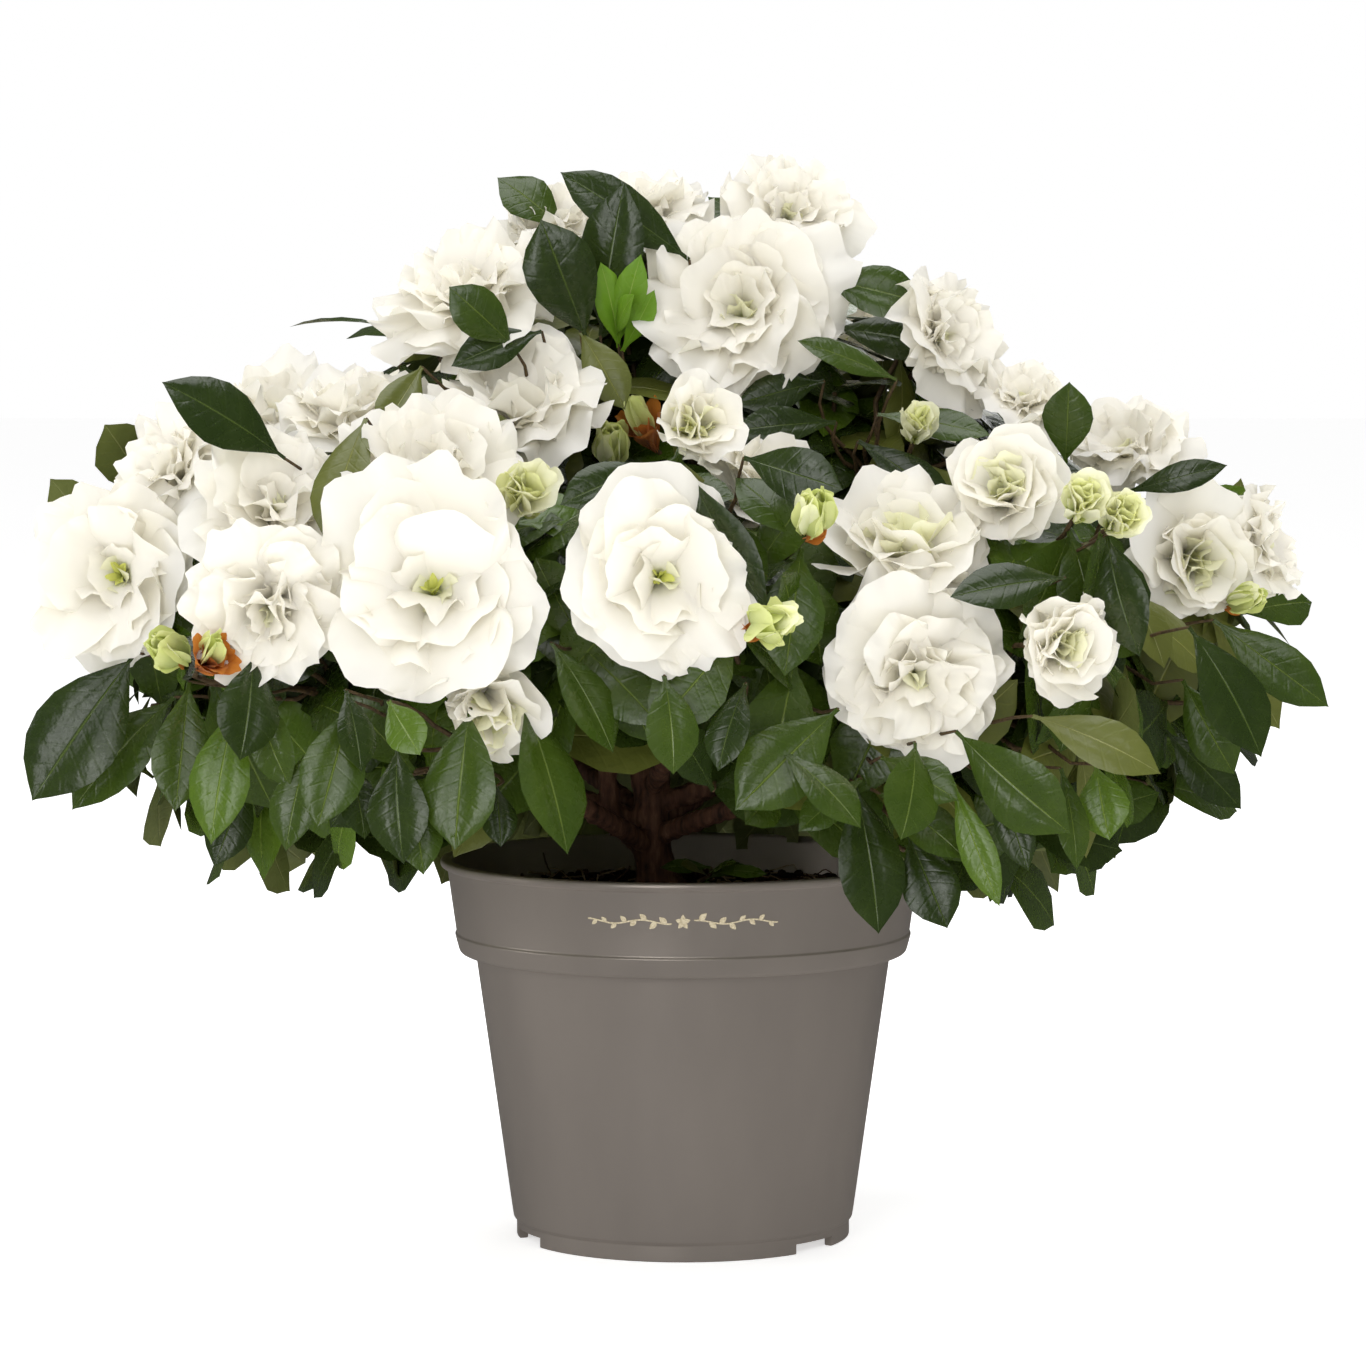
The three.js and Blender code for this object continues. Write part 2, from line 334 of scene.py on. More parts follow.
def petal_material(name, body, base, through, reach=0.3):
    """A soft petal, tinted at its base, with faint veins that fan out along it."""
    s = Shader(name, Roughness=0.5, Specular_IOR_Level=0.3, Sheen_Weight=0.1, Sheen_Roughness=0.5)
    across, along = s.across_along()
    s.colour(s.ramp(along, (0.0, base), (reach, body), (1.0, body)))
    veins = s.math("SINE", s.math("MULTIPLY", across, 34.0), 0.0)
    s.bump(s.math("MULTIPLY", veins, along), 0.00008, 0.3)
    s.translucent(through, 0.36)
    return s.material


def leaf_material(name, blade, rib, gloss=0.26, through=None):
    """A leathery leaf: a paler midrib, faint side veins quilted between, glossy in patches."""
    s = Shader(name, Specular_IOR_Level=0.5)
    across, along = s.across_along()
    side = s.math("ABSOLUTE", across, 0.0)
    slant = s.math("SUBTRACT", along, s.math("MULTIPLY", side, 0.14))
    veins = s.math("SINE", s.math("MULTIPLY", slant, 52.0), 0.0)
    crest = s.math("POWER", s.math("MAXIMUM", veins, 0.0), 8.0)
    midrib = s.math("SUBTRACT", 1.0, s.math("MINIMUM", s.math("MULTIPLY", side, 24.0), 1.0))
    patchy = s.math("MULTIPLY", s.noise(70, 3, 0.6), 0.5)
    mark = s.math("MAXIMUM", midrib, s.math("MULTIPLY", crest, 0.05))
    s.colour(s.ramp(s.math("ADD", mark, s.math("SUBTRACT", patchy, 0.2)), (0.0, blade), (1.0, rib)))
    leather = s.math("MULTIPLY", s.noise(160, 3, 0.6), 2.2)
    quilt = s.math("SUBTRACT", leather, s.math("ADD", midrib, s.math("MULTIPLY", crest, 0.2)))
    s.bump(quilt, 0.0004, 0.5)
    s.roughness(s.range(s.noise(240, 3, 0.6), gloss - 0.08, gloss + 0.1))
    if through:
        s.translucent(through, 0.14)
    return s.material


def bark_material():
    s = Shader("bark", Roughness=0.82, Specular_IOR_Level=0.3)
    grain = s.noise(420, 6, 0.62, stretch=(1, 1, 0.22))
    dark, mid, pale = srgb(38, 24, 17), srgb(84, 54, 38), srgb(122, 92, 70)
    s.colour(s.ramp(grain, (0.3, dark), (0.52, mid), (0.8, pale)))
    s.bump(grain, 0.0006, 0.8)
    return s.material


def twig_material():
    s = Shader("twig", Roughness=0.7, Specular_IOR_Level=0.35)
    grain = s.noise(900, 4, 0.6)
    s.colour(s.ramp(grain, (0.3, srgb(52, 38, 24)), (0.75, srgb(92, 74, 44))))
    s.bump(grain, 0.0003, 0.6)
    return s.material


def soil_material(name, dark, pale):
    s = Shader(name, Roughness=0.95, Specular_IOR_Level=0.2)
    clods = s.noise(520, 8, 0.7)
    s.colour(s.ramp(clods, (0.35, dark), (0.75, pale)))
    s.bump(clods, 0.0012, 0.9)
    return s.material


def pot_material():
    """Grey-brown moulded plastic with a faint metallic pigment and a fine eggshell texture."""
    s = Shader("pot_plastic", Metallic=0.68, Specular_IOR_Level=0.3)
    cloud = s.noise(28, 3, 0.5, stretch=(1, 1, 0.35))
    s.colour(s.ramp(cloud, (0.3, srgb(160, 151, 143)), (0.7, srgb(172, 162, 153))))
    fine = s.noise(2600, 3, 0.6)
    s.roughness(s.range(cloud, 0.34, 0.42))
    s.bump(fine, 0.00006, 0.35)
    return s.material


def print_material():
    s = Shader("cream_print", Roughness=0.55)
    worn = s.noise(1500, 4, 0.6)
    s.colour(s.ramp(worn, (0.35, srgb(178, 163, 132)), (0.6, srgb(203, 190, 160))))
    return s.material


BARK = bark_material()
TWIG = twig_material()
WHITE = petal_material("petal_white", srgb(247, 244, 238), srgb(238, 239, 208), srgb(250, 247, 230))
CREAM = petal_material("petal_cream", srgb(248, 247, 226), srgb(218, 226, 150), srgb(242, 242, 196), 0.5)
PALE = petal_material("petal_pale_green", srgb(244, 244, 208), srgb(198, 212, 116), srgb(232, 236, 160), 0.7)
MARK = petal_material("petal_throat", srgb(228, 230, 132), srgb(196, 206, 90), srgb(216, 224, 110), 0.6)
BUD = petal_material("bud_green", srgb(222, 226, 156), srgb(160, 180, 84), srgb(206, 216, 130), 0.8)
SCALE = petal_material("bud_scale", srgb(196, 122, 46), srgb(150, 80, 34), srgb(200, 120, 40), 0.6)
PETALS = [WHITE, CREAM, PALE, MARK, BUD, SCALE]

LEAF_DARK = leaf_material("leaf_dark", srgb(32, 46, 10), srgb(70, 86, 32))
LEAF_MID = leaf_material("leaf_mid", srgb(48, 66, 14), srgb(92, 108, 42))
LEAF_FRESH = leaf_material("leaf_fresh", srgb(68, 92, 20), srgb(112, 132, 52))
LEAF_OLIVE = leaf_material("leaf_olive", srgb(84, 90, 34), srgb(126, 128, 66), 0.34)
LEAF_YOUNG = leaf_material("leaf_young", srgb(104, 146, 34), srgb(156, 184, 84), 0.3, srgb(150, 196, 60))
LEAF_UNDER = leaf_material("leaf_underside", srgb(98, 106, 52), srgb(138, 142, 84), 0.5)
LEAVES = [LEAF_DARK, LEAF_MID, LEAF_FRESH, LEAF_OLIVE, LEAF_YOUNG, LEAF_UNDER]
UNDERSIDE = 5

# ------------------------------------------------------------------ the crown's surface

MASSES = sorted(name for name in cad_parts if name.startswith("foliage_"))
BOUGHS = sorted(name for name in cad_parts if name.startswith("bough_"))


def corners(node):
    return mesh_points(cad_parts[node].data)


mass_points, mass_faces, mass_of_face = [], [], []
for number, name in enumerate(MASSES):
    shift = sum(len(p) for p in mass_points)
    mass_points.append(corners(name))
    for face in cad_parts[name].data.polygons:
        mass_faces.append([shift + v for v in face.vertices])
        mass_of_face.append(number)
surface = BVHTree.FromPolygons(np.concatenate(mass_points).tolist(), mass_faces)
centres = np.array([p.mean(axis=0) for p in mass_points])

crown_low = np.concatenate(mass_points).min(axis=0)
crown_high = np.concatenate(mass_points).max(axis=0)
half_width = (crown_high[0] - crown_low[0]) / 2
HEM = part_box("pot")[1].z - 23.2 * MM  # where the shares of the crown's height start
crown_height = crown_high[2] - HEM
CORE = np.array([0.0, 0.0, HEM + 0.25 * crown_height])


def first_hit(start, way):
    """Where a ray meets the crown: the point, its outward normal and the mass's number."""
    place_, normal, face, _ = surface.ray_cast(Vector(start), Vector(way))
    if place_ is None:
        return None
    return np.array(place_), np.array(normal), mass_of_face[face]


def seen_at(across, up):
    """The crown's surface where the camera sees it at a share of its half width and height."""
    target = np.array([across * half_width, 0, HEM + up * crown_height])
    hit = first_hit(CAMERA_PLACE, unit(target - CAMERA_PLACE))
    if hit:
        return hit
    place_, normal, face, _ = surface.find_nearest(Vector(target))
    return (np.array(place_) + target) / 2, np.array(normal), mass_of_face[face]


def outside(point):
    """How far a point is outside the crown's masses; negative inside one."""
    place_, normal, _, _ = surface.find_nearest(Vector(point))
    return float((np.asarray(point) - np.array(place_)) @ np.array(normal))


FACES_DOWN = -0.25  # the Z of a normal below which a surface counts as facing down


def underneath(point):
    """Whether the crown's nearest surface to a point faces down."""
    _, normal, _, _ = surface.find_nearest(Vector(point))
    return normal.z < FACES_DOWN


def beyond(place_):
    """Distance from the camera, and the direction to a place."""
    apart = np.asarray(place_) - CAMERA_PLACE
    far = np.linalg.norm(apart, axis=-1)
    return far, apart / (far[..., None] if apart.ndim > 1 else far)


# ------------------------------------------------------------------ petals

FINE_PETAL = (10, 20)  # rows and columns of points: the large petals at the front
PLAIN_PETAL = (8, 13)  # and all the others
SHOULDER = 0.56  # how far along a petal its sides turn into its rounded rim
CLAW = 0.2  # width at the base, as a share
CURL_STEPS = 40  # along a petal's curling midline
CURL_REACH = 1.15  # the midline runs this far past the petal's length, for its frills


def petals(rows, grid):
    """Grids of points for many petals at once.

    Each row holds: base point, flower axis, outward direction, length, width, first and last
    angle from the axis in degrees, ruffle, cup and twist as shares of the width, depth of the
    notch as a share of the length, and a random phase.
    """
    base = np.array([r["base"] for r in rows])[:, None, None, :]
    axis = np.array([r["axis"] for r in rows])[:, None, None, :]
    out = np.array([r["out"] for r in rows])[:, None, None, :]
    side = np.cross(axis, out)
    size = {k: np.array([r[k] for r in rows], float)[:, None, None] for k in
            ("length", "width", "first", "last", "ruffle", "cup", "twist", "phase", "bite")}
    u = np.linspace(0, 1, grid[0])[None, :, None] ** 0.85
    arc = np.linspace(-1, 1, grid[1])[None, None, :] * math.pi / 2
    fine_wave = 8 if grid == FINE_PETAL else 5
    v = np.sin(arc)
    phase = size["phase"]

    # outline: narrow claw, sides that flare to the shoulders, and a broad rounded rim
    edge = 1 + u**3 * (0.035 * np.sin(3 * arc + phase) + 0.02 * np.sin(fine_wave * arc + 3 * phase))
    along = u * (SHOULDER + (1 - SHOULDER) * np.cos(arc)) * edge
    along = along - size["bite"] * np.exp(-((v / 0.2) ** 2)) * u**6
    sideways = size["width"] / 2 * (CLAW + (1 - CLAW) * np.sin(u * math.pi / 2) ** 1.2) * v * edge

    # the midline curls from its first angle to its last
    fine = np.linspace(0, CURL_REACH, CURL_STEPS + 1)[None, :]
    first = np.radians(size["first"][:, :, 0])
    last = np.radians(size["last"][:, :, 0])
    angle = first + (last - first) * smooth_step(fine * 0.9) ** 0.9
    step = size["length"][:, :, 0] * CURL_REACH / CURL_STEPS
    start = np.zeros_like(first)
    reach = np.concatenate([start, np.cumsum(np.sin(angle[:, 1:]) * step, axis=1)], axis=1)
    rise = np.concatenate([start, np.cumsum(np.cos(angle[:, 1:]) * step, axis=1)], axis=1)
    at = np.clip(along / CURL_REACH, 0, 1) * CURL_STEPS
    low = np.clip(np.floor(at).astype(int), 0, CURL_STEPS - 1)
    share = at - low
    which = np.arange(len(rows))[:, None, None]

    def sample(table):
        return table[which, low] * (1 - share) + table[which, low + 1] * share

    reach, rise, angle = sample(reach), sample(rise), sample(angle)

    # frilled rim, cupped or reflexed blade, one side over its neighbour, and soft lengthwise folds
    rim = np.maximum(u**2.6, np.abs(v) ** 4 * u)
    frill = (
        0.75 * np.sin(3 * arc + phase)
        + 0.7 * np.sin(0.7 * fine_wave * arc + 2.3 * phase + 1) * u
        + 0.7 * np.sin(fine_wave * arc + 4.1 * phase) * u**3
    )
    folds = 0.4 * np.sin(5 * v + 1.7 * phase) * np.sin(math.pi * u) + 0.5 * np.sin(2 * v + phase) * u
    lift = size["width"] * (
        size["ruffle"] * (1.2 * rim * frill + 0.5 * folds) + size["cup"] * v**2 * u + size["twist"] * v * u
    )
    points = (
        base
        + out * (reach - lift * np.cos(angle))[..., None]
        + axis * (rise + lift * np.sin(angle))[..., None]
        + side * sideways[..., None]
    )
    maps = np.broadcast_to(
        np.stack(np.broadcast_arrays(arc / math.pi + 0.5, u), axis=-1), points.shape[:3] + (2,)
    )
    return points.reshape(-1, 3), maps.reshape(-1, 2)


# Each ring of a bloom: petals, length and width as shares of the bloom's diameter, first and last
# angle from its axis, ruffle, cup, height above the base as a share, and petal shade.
RINGS = {
    "open": [
        (5, 0.20, 0.17, 12, 40, 0.02, 0.10, -0.05, 2),
        (5, 0.57, 0.58, 32, 104, 0.060, -0.05, 0.00, 0),
        (6, 0.52, 0.50, 30, 86, 0.065, 0.00, 0.015, 0),
        (5, 0.43, 0.46, 24, 68, 0.065, 0.04, 0.03, 0),
        (3, 0.31, 0.34, 16, 50, 0.070, 0.06, 0.045, 0),
        (3, 0.20, 0.20, 10, 36, 0.060, 0.08, 0.05, 1),
        (5, 0.13, 0.035, 4, 40, 0.060, 0.05, 0.08, 3),
    ],
    "full": [
        (5, 0.20, 0.17, 12, 40, 0.02, 0.10, -0.05, 2),
        (5, 0.56, 0.58, 32, 110, 0.080, -0.06, 0.00, 0),
        (6, 0.52, 0.48, 30, 92, 0.085, -0.02, 0.015, 0),
        (6, 0.46, 0.44, 26, 74, 0.090, 0.02, 0.03, 0),
        (5, 0.38, 0.38, 20, 56, 0.095, 0.05, 0.045, 0),
        (4, 0.29, 0.28, 11, 36, 0.095, 0.07, 0.06, 0),
        (3, 0.20, 0.18, 2, 16, 0.090, 0.08, 0.07, 1),
    ],
    "rose": [
        (5, 0.20, 0.20, 14, 46, 0.02, 0.10, -0.05, 2),
        (5, 0.58, 0.66, 22, 82, 0.040, 0.00, 0.00, 0),
        (5, 0.54, 0.62, 18, 56, 0.040, 0.08, 0.01, 0),
        (5, 0.49, 0.54, 14, 36, 0.040, 0.12, 0.02, 0),
        (4, 0.43, 0.46, 9, 20, 0.045, 0.14, 0.03, 1),
        (4, 0.36, 0.36, 3, 6, 0.050, 0.14, 0.04, 1),
        (3, 0.29, 0.26, -4, -8, 0.050, 0.14, 0.05, 2),
    ],
    "half": [
        (5, 0.24, 0.24, 14, 36, 0.02, 0.10, -0.05, 4),
        (5, 0.62, 0.56, 14, 50, 0.045, 0.10, 0.00, 0),
        (5, 0.58, 0.50, 10, 32, 0.050, 0.12, 0.02, 0),
        (4, 0.51, 0.42, 5, 16, 0.055, 0.12, 0.03, 1),
        (4, 0.43, 0.32, -2, 2, 0.055, 0.12, 0.04, 2),
    ],
    "opening": [
        (5, 0.34, 0.30, 12, 30, 0.02, 0.10, -0.05, 4),
        (5, 0.78, 0.56, 10, 26, 0.040, 0.14, 0.00, 1),
        (4, 0.72, 0.48, 6, 14, 0.045, 0.14, 0.03, 2),
        (3, 0.64, 0.38, 0, 4, 0.050, 0.12, 0.06, 2),
    ],
    "bud": [
        (5, 0.50, 0.36, 16, 8, 0.01, 0.16, -0.10, 5),
        (5, 1.10, 0.60, 22, -14, 0.01, 0.20, 0.00, 4),
        (4, 1.15, 0.50, 16, -12, 0.01, 0.20, 0.05, 2),
    ],
    "scales": [
        (6, 0.75, 0.30, 14, 34, 0.03, 0.16, -0.05, 5),
        (5, 0.62, 0.26, 8, 18, 0.03, 0.16, 0.00, 5),
        (4, 0.85, 0.34, 8, -4, 0.02, 0.20, 0.10, 4),
    ],
}
# How deep the base lies under a bloom's middle, as a share of its diameter.
BASE_DEPTH = {
    "open": 0.26, "full": 0.28, "rose": 0.34, "half": 0.36, "opening": 0.42, "bud": 0.55, "scales": 0.4,
}


def bloom(middle, axis, diameter, form, rng):
    """The petal rows of one bloom whose middle, as it is seen, is at that point."""
    axis = unit(axis)
    out = across_to(axis, rng.normal(size=3))
    side = np.cross(axis, out)
    base = middle - axis * BASE_DEPTH[form] * diameter
    loose = 0.4 if form in FORWARD else 1.0
    lean = unit(axis + loose * 0.16 * (rng.normal() * out + rng.normal() * side))
    rows = []
    turn = rng.uniform(0, TURN)
    for count, length, width, first, last, ruffle, cup, height, shade in RINGS[form]:
        turn += TURN / count / 2 + rng.uniform(-0.3, 0.3) * loose
        ring_axis = unit(axis + (lean - axis) * height / 0.03 + loose * rng.normal(scale=0.05, size=3))
        long, wide = rng.uniform(0.94, 1.06, size=2)
        for k in range(count):
            angle = turn + TURN * (k + loose * rng.uniform(-0.24, 0.24)) / count
            petal_axis = unit(ring_axis + loose * rng.normal(scale=0.07, size=3))
            rows.append({
                "base": base + axis * height * diameter,
                "axis": petal_axis,
                "out": across_to(petal_axis, math.cos(angle) * out + math.sin(angle) * side),
                "length": long * length * diameter * (1 + loose * rng.uniform(-0.16, 0.12)),
                "width": wide * width * diameter * (1 + loose * rng.uniform(-0.2, 0.2)),
                "first": first + rng.uniform(-5, 5) * loose,
                "last": last + rng.uniform(-20, 16) * loose,
                "ruffle": ruffle * rng.uniform(0.5, 1.6),
                "cup": cup + rng.uniform(-0.06, 0.05) * loose,
                "twist": rng.uniform(0.04, 0.15),
                "phase": rng.uniform(0, TURN),
                "bite": rng.choice([0.0, 0.0, 0.03, 0.07]),
                "shade": shade,
            })
    return base, rows


# ------------------------------------------------------------------ blooms

# The blooms that face the viewer, roughly left to right: place across and up as shares of the crown's
# half width and height, diameter in mm, yaw and pitch of the bloom, form.
FRONT_BLOOMS = [
    (-0.885, 0.48, 60, -22, 12, "open"),
    (-0.79, 0.62, 44, -45, 32, "full"),
    (-0.645, 0.44, 48, -8, 4, "full"),
    (-0.64, 0.575, 52, -12, 34, "full"),
    (-0.64, 0.70, 48, -25, 55, "full"),
    (-0.51, 0.69, 50, -5, 50, "full"),
    (-0.725, 0.367, 24, 25, 20, "scales"),
    (-0.785, 0.375, 18, -20, 20, "bud"),
    (-0.39, 0.45, 68, -4, 8, "open"),
    (-0.39, 0.61, 56, -6, 34, "full"),
    (-0.30, 0.30, 40, 12, -22, "half"),
    (-0.34, 0.84, 54, -28, 38, "full"),
    (-0.25, 0.705, 56, -8, 52, "full"),
    (-0.24, 0.58, 26, 10, 25, "opening"),
    (-0.20, 0.94, 40, -25, 60, "full"),
    (-0.11, 0.64, 18, 5, 35, "bud"),
    (-0.05, 0.96, 38, 0, 70, "full"),
    (-0.04, 0.47, 60, 2, 6, "open"),
    (0.02, 0.67, 36, 15, 22, "half"),
    (-0.06, 0.665, 24, -25, 40, "scales"),
    (0.09, 0.83, 66, -4, 24, "full"),
    (0.17, 0.96, 46, 22, 48, "full"),
    (0.13, 0.41, 20, 20, 10, "bud"),
    (0.20, 0.55, 20, 10, 30, "bud"),
    (0.34, 0.52, 54, 0, 52, "rose"),
    (0.36, 0.35, 58, 4, 4, "full"),
    (0.36, 0.67, 18, 10, 40, "opening"),
    (0.42, 0.79, 44, 58, 18, "full"),
    (0.54, 0.71, 34, 30, 50, "full"),
    (0.50, 0.59, 40, -4, 26, "rose"),
    (0.61, 0.57, 22, 10, 30, "opening"),
    (0.67, 0.55, 22, 18, 22, "opening"),
    (0.60, 0.37, 38, 40, -8, "rose"),
    (0.69, 0.66, 44, 15, 62, "full"),
    (0.79, 0.50, 46, 18, 8, "rose"),
    (0.90, 0.51, 38, 62, 10, "full"),
    (0.86, 0.44, 15, 30, 10, "bud"),
]
SEEDED_BLOOMS = 34
SEEDED_SIZE = (40, 60)  # diameters, mm
SEEDED_FORMS = ("open", "full", "full", "rose", "half")
SEEDED_LOWEST = 165 * MM  # no seeded bloom is lower
BLOOM_SPACING = 0.43  # how near two middles may come, as a share of the two diameters together
SUNK = 0.12  # how deep a bloom's middle lies in the crown, as a share of its diameter
FORWARD = {"bud": 6, "opening": 6, "scales": 11}  # mm that the small forms stand forward of the crown


class Bloom:
    def __init__(self, place_, axis, diameter, form, mass, rng):
        self.place, self.axis, self.diameter = place_, unit(axis), diameter
        self.form, self.mass = form, mass
        self.base, self.rows = bloom(place_, axis, diameter, form, rng)


LOWEST_RAY = math.radians(-28)  # how far below the level the rays to the crown's core start


def crown_places(count, rng):
    """Random places on the outside of the crown, with their normals and masses."""
    found = []
    while len(found) < count:
        turn = rng.uniform(0, TURN)
        rise = math.asin(rng.uniform(math.sin(LOWEST_RAY), 1))
        way = np.array([math.cos(turn) * math.cos(rise), math.sin(turn) * math.cos(rise), math.sin(rise)])
        hit = first_hit(CORE + way * 0.5, -way)
        if hit:
            found.append(hit)
    return found


BLOOM_REACH = 26 * MM  # how far a seeded bloom's petals spread
COVER = 45 * MM  # how much of the crown must stand in front of what it hides


def behind_the_crown(place_):
    """Whether the crown hides a place, and what grows round it, from the viewer at the front."""
    for shift in (0, 0), (-1, 0), (1, 0), (0, 1):
        target = place_ + BLOOM_REACH * np.array([shift[0], 0, shift[1]])
        far, way = beyond(target)
        hit = first_hit(CAMERA_PLACE, way)
        if hit is None or (shift == (0, 0) and np.linalg.norm(hit[0] - CAMERA_PLACE) > far - COVER):
            return False
    return True


def grow_blooms():
    rng = np.random.default_rng(11)
    blooms = []
    for across, up, size, yaw, pitch, form in FRONT_BLOOMS:
        place_, _, mass = seen_at(across, up)
        diameter = size * MM
        back = -FORWARD[form] * MM if form in FORWARD else SUNK * diameter
        middle = place_ + unit(place_ - CAMERA_PLACE) * back
        blooms.append(Bloom(middle, facing(yaw, pitch), diameter, form, mass, rng))
    added = 0
    for place_, normal, mass in crown_places(6000, rng):
        outward = unit(place_ - CORE)
        if added == SEEDED_BLOOMS or place_[2] < SEEDED_LOWEST or not behind_the_crown(place_):
            continue
        diameter = rng.uniform(*SEEDED_SIZE) * MM
        if any(np.linalg.norm(place_ - b.place) < BLOOM_SPACING * (diameter + b.diameter) for b in blooms):
            continue
        axis = unit(outward + 0.35 * normal + rng.normal(scale=0.25, size=3) + 0.25 * UP)
        form = SEEDED_FORMS[rng.integers(len(SEEDED_FORMS))]
        blooms.append(Bloom(place_ - outward * SUNK * diameter, axis, diameter, form, mass, rng))
        added += 1
    return blooms


blooms = grow_blooms()
shown_blooms = blooms[:len(FRONT_BLOOMS)]

MOST_TRIANGLES = 190000  # in one joined piece
LARGE_PETAL = 12 * MM


def quads_of(grid):
    return (grid[0] - 1) * (grid[1] - 1)


def make_blooms():
    """Joined pieces of petals: first the large petals at the front, then all the others."""
    fine, plain = [], []
    for b in blooms:
        for row in b.rows:
            large = b in shown_blooms and row["length"] > LARGE_PETAL
            (fine if large else plain).append(row)
    number = 0
    for some_rows, grid in (fine, FINE_PETAL), (plain, PLAIN_PETAL):
        most = MOST_TRIANGLES // (2 * quads_of(grid))
        for start in range(0, len(some_rows), most):
            some = some_rows[start:start + most]
            points, maps = petals(some, grid)
            shades = np.repeat([r["shade"] for r in some], quads_of(grid))
            patches = Patches()
            patches.add(points, many_grids(len(some), *grid), maps, shades)
            number += 1
            patches.piece(f"blossom_{number}", PETALS, "petal")


make_blooms()

# ------------------------------------------------------------------ leaves

FINE_LEAF = (11, 7)  # rows and columns of points: the leaves that stand out at the front
PLAIN_LEAF = (8, 5)  # and all the others


def leaf_blades(rows, grid):
    """Grids of points for many leaves: the upper side, then the underside a hair below it.

    Each row holds: base point, direction, upper side's direction, length, width, droop in degrees
    along the leaf, fold of its halves in degrees, and a random phase.
    """
    base = np.array([r["base"] for r in rows])[:, None, None, :]
    way = unit(np.array([r["way"] for r in rows]))
    top = across_to(way, np.array([r["top"] for r in rows]))
    side = np.cross(way, top)[:, None, None, :]
    way, top = way[:, None, None, :], top[:, None, None, :]
    size = {k: np.array([r[k] for r in rows], float)[:, None, None] for k in
            ("length", "width", "droop", "fold", "phase")}
    u = (0.5 - 0.5 * np.cos(np.linspace(0.12, 1, grid[0]) * math.pi))[None, :, None]
    u = (u - u.min()) / (1 - u.min())
    v = np.linspace(-1, 1, grid[1])[None, None, :]

    # outline: short stalk, widest past the middle, then a short point
    blade = np.clip((u - 0.07) / 0.93, 0, 1)
    half = size["width"] / 2 * np.sin(math.pi * blade**1.2) ** (0.75 + 0.45 * blade**5)
    half = np.maximum(half, 0.0007 * (1 - u))
    half = half * (1 + 0.025 * np.sin(9 * u + size["phase"]))

    droop = np.radians(size["droop"])
    bent = droop * u
    safe = np.where(np.abs(droop) < 1e-3, 1e-3, droop)
    forward = size["length"] * np.sin(safe * u) / safe
    fall = size["length"] * (1 - np.cos(safe * u)) / safe
    fold = np.radians(size["fold"]) * (1 - 0.35 * u)
    spread = np.abs(v) * half
    ripple = 0.09 * half * np.sin(7 * u + size["phase"] + 2 * np.sign(v)) * v**2
    lift = spread * np.sin(fold) - 0.9 * spread * v**2 * np.sin(fold) + ripple
    points = (
        base
        + way * (forward + lift * np.sin(bent))[..., None]
        + top * (-fall + lift * np.cos(bent))[..., None]
        + side * (v * half * np.cos(fold))[..., None]
    )
    thick = 0.0005 * (1 - v**2) * np.sin(math.pi * np.clip(u, 0.02, 0.98))
    below = points - (top * np.cos(bent)[..., None] + way * np.sin(bent)[..., None]) * thick[..., None]
    maps = np.broadcast_to(
        np.stack(np.broadcast_arrays(v * 0.5 + 0.5, u), axis=-1), points.shape[:3] + (2,)
    )
    return points, below, maps


def make_leaves(rows, grid, first):
    """Joined pieces of leaves, each with an upper side and an underside that meet at the rim."""
    per_leaf = grid[0] * grid[1]
    one = grid_quads(*grid)
    both = np.concatenate([one, one[:, [0, 3, 2, 1]] + per_leaf])
    most = MOST_TRIANGLES // (2 * len(both))
    for number, start in enumerate(range(0, len(rows), most)):
        some = rows[start:start + most]
        points, below, maps = leaf_blades(some, grid)
        points = np.concatenate([points.reshape(len(some), -1, 3), below.reshape(len(some), -1, 3)], axis=1)
        maps = np.concatenate([maps.reshape(len(some), -1, 2)] * 2, axis=1)
        quads = both[None] + (np.arange(len(some)) * 2 * per_leaf)[:, None, None]
        shades = np.full((len(some), len(both)), UNDERSIDE)
        shades[:, : len(one)] = np.array([r["shade"] for r in some])[:, None]
        patches = Patches()
        patches.add(points.reshape(-1, 3), quads.reshape(-1, 4), maps.reshape(-1, 2), shades.ravel())
        patches.piece(f"leaves_{first + number}", LEAVES, "foliage")


LEAF_LENGTH = (29, 44)  # mm
LEAF_SHAPE = (0.50, 0.60)  # width over length
DROOP = (8, 42)  # degrees along the leaf
SHADES_OUTER = (0, 0, 1, 1, 1, 2, 3)  # the shades that a spray may take, some of them oftener
SHADES_INNER = (0, 0, 0, 1, 3)


def leaf_row(base, way, top, length, rng, shade, droop=None, fold=None, width=None):
    return {
        "base": base,
        "way": way,
        "top": top,
        "length": length,
        "width": width or length * rng.uniform(*LEAF_SHAPE),
        "droop": rng.uniform(*DROOP) if droop is None else droop,
        "fold": rng.uniform(10, 26) if fold is None else fold,
        "phase": rng.uniform(0, TURN),
        "shade": shade,
    }


class Shoot:
    """The leafy end of a twig: where it ends, which way, the mass it belongs to, and its radius."""

    def __init__(self, end, axis, mass, radius=0.7 * MM):
        self.end, self.axis, self.mass, self.radius = end, axis, mass, radius


